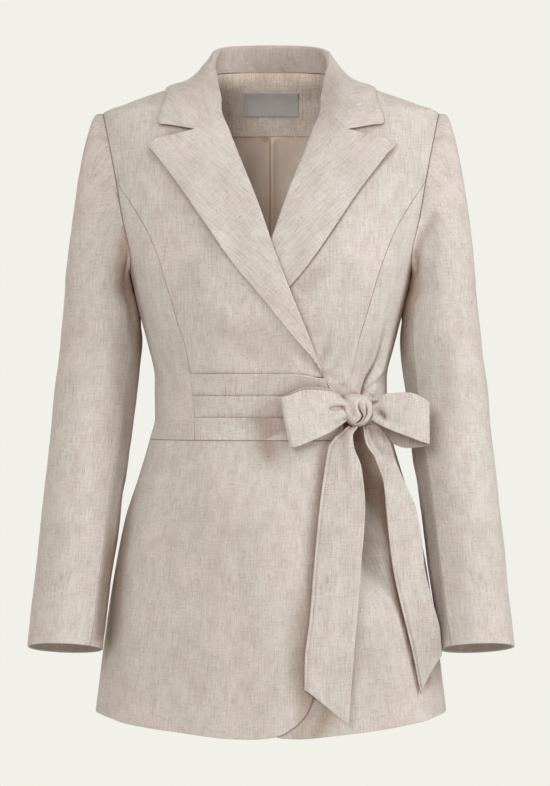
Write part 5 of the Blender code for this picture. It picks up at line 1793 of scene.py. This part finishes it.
def lining_satin():
    look = Look("satin_cloth", roughness=0.42, sheen=0.05)
    ribs = look.noise((700, 60), 2.0, 0.5)
    cloud = look.noise((24, 14), 2.0, 0.5, (4, 4, 0))
    base = look.mix(look.span(cloud, 0.3, 0.7), *SATIN[:2])
    base = look.mix(look.span(ribs, 0.4, 0.7, 0, 0.2), base, SATIN[2])
    # The satin's colour, with painted shade in folds and narrow places
    look.put(look.shader.inputs["Base Color"], look.shaded(base))
    look.put(look.shader.inputs["Roughness"], look.span(cloud, 0.3, 0.7, *SATIN_GLOSS))
    look.bump(ribs, *SATIN_RELIEF)
    return look.made


def label_weave():
    look = Look("label_cloth", roughness=0.6)
    weft = look.noise((160, 2400), 2.0, 0.5)
    cloud = look.noise((60, 60), 2.0, 0.5, (6, 1, 0))
    base = look.mix(look.span(cloud, 0.3, 0.7), *LABEL_GREY[:2])
    base = look.mix(look.span(weft, 0.45, 0.7, 0, 0.25), base, LABEL_GREY[2])
    look.put(look.shader.inputs["Base Color"], base)
    look.bump(weft, *LABEL_RELIEF)
    return look.made


# ---- studio

PALE = (0.879, 0.879, 0.811)
SKY = (1.0, 0.80, 0.66)
SKY_STRENGTH = 0.32
FLOOR_HEIGHT = -1.35
FLOOR_RADIUS = 3.0
FLOOR_PALE = ((0.8, 0.8, 0.75), (0.78, 0.78, 0.73))
CAMERA = {"at": (0.00456, -2.8, -0.3568), "lens": 112.5}
AIM = (0, 0, -0.35)
COOL, WARM = (0.97, 0.98, 0.98), (1.0, 0.98, 0.97)
# Name, place, size across, power and colour of each lamp
LAMPS = (
    ("top", (0.3, -2.3, 2.4), 1.1, 17.0, COOL),
    ("front", (-0.8, -2.9, 0.6), 1.1, 39.0, COOL),
    ("left", (-2.6, -1.3, 0.7), 1.2, 7.5, COOL),
    ("right", (2.6, -1.1, 0.4), 1.2, 46.0, COOL),
    ("back", (-0.8, 2.4, 1.2), 1.4, 30.0, WARM),
)


def surroundings():
    """A pale backdrop that lights the garment more dimly than it looks."""
    world = bpy.data.worlds.new("studio")
    world.use_nodes = True
    tree = world.node_tree
    seen = tree.nodes["Background"]
    seen.inputs["Color"].default_value = (*PALE, 1)
    lit = tree.nodes.new("ShaderNodeBackground")
    lit.inputs["Color"].default_value = (*SKY, 1)
    lit.inputs["Strength"].default_value = SKY_STRENGTH
    path = tree.nodes.new("ShaderNodeLightPath")
    mix = tree.nodes.new("ShaderNodeMixShader")
    tree.links.new(path.outputs["Is Camera Ray"], mix.inputs[0])
    tree.links.new(lit.outputs[0], mix.inputs[1])
    tree.links.new(seen.outputs[0], mix.inputs[2])
    tree.links.new(mix.outputs[0], tree.nodes["World Output"].inputs["Surface"])
    return world


def stage_floor():
    bpy.ops.mesh.primitive_circle_add(
        vertices=96, radius=FLOOR_RADIUS, fill_type="NGON", location=(0, 0, FLOOR_HEIGHT))
    floor = bpy.context.object
    floor.name = "floor"
    paint = Look("floor_paint", roughness=0.9)
    base = paint.mix(paint.span(paint.noise((3, 3)), 0.3, 0.7), *FLOOR_PALE)
    paint.put(paint.shader.inputs["Base Color"], base)
    floor.data.materials.append(paint.made)


def studio():
    scene = bpy.context.scene
    scene.world = surroundings()
    scene.view_settings.view_transform = "Standard"
    stage_floor()
    for name, at, size, power, colour in LAMPS:
        lamp = bpy.data.lights.new(name, "AREA")
        lamp.size = size
        lamp.energy = power
        lamp.color = colour
        holder = bpy.data.objects.new(name, lamp)
        holder.location = at
        holder.rotation_euler = (Vector(AIM) - Vector(at)).to_track_quat("-Z", "Y").to_euler()
        scene.collection.objects.link(holder)
    lens = bpy.data.cameras.new("camera")
    lens.lens = CAMERA["lens"]
    camera = bpy.data.objects.new("camera", lens)
    camera.location = CAMERA["at"]
    camera.rotation_euler = (math.radians(90), 0, 0)
    scene.collection.objects.link(camera)
    scene.camera = camera


# ---- the garment


linen = slub_linen("linen_cloth", LINEN_PALE, LINEN_DARK)
satin, woven = lining_satin(), label_weave()
bodice(linen)
skirt(linen)
lapels(linen)
# The facing takes the copy of the linen with painted light and brown painted shade
inside_back(slub_linen("facing_cloth", FACING_PALE_PAINTED_LIGHT, FACING_DARK_PAINTED_SHADE, FACING_PAINTED_HOLLOW_SHADE), satin, woven)
sleeves(linen)
tie(linen)
studio()
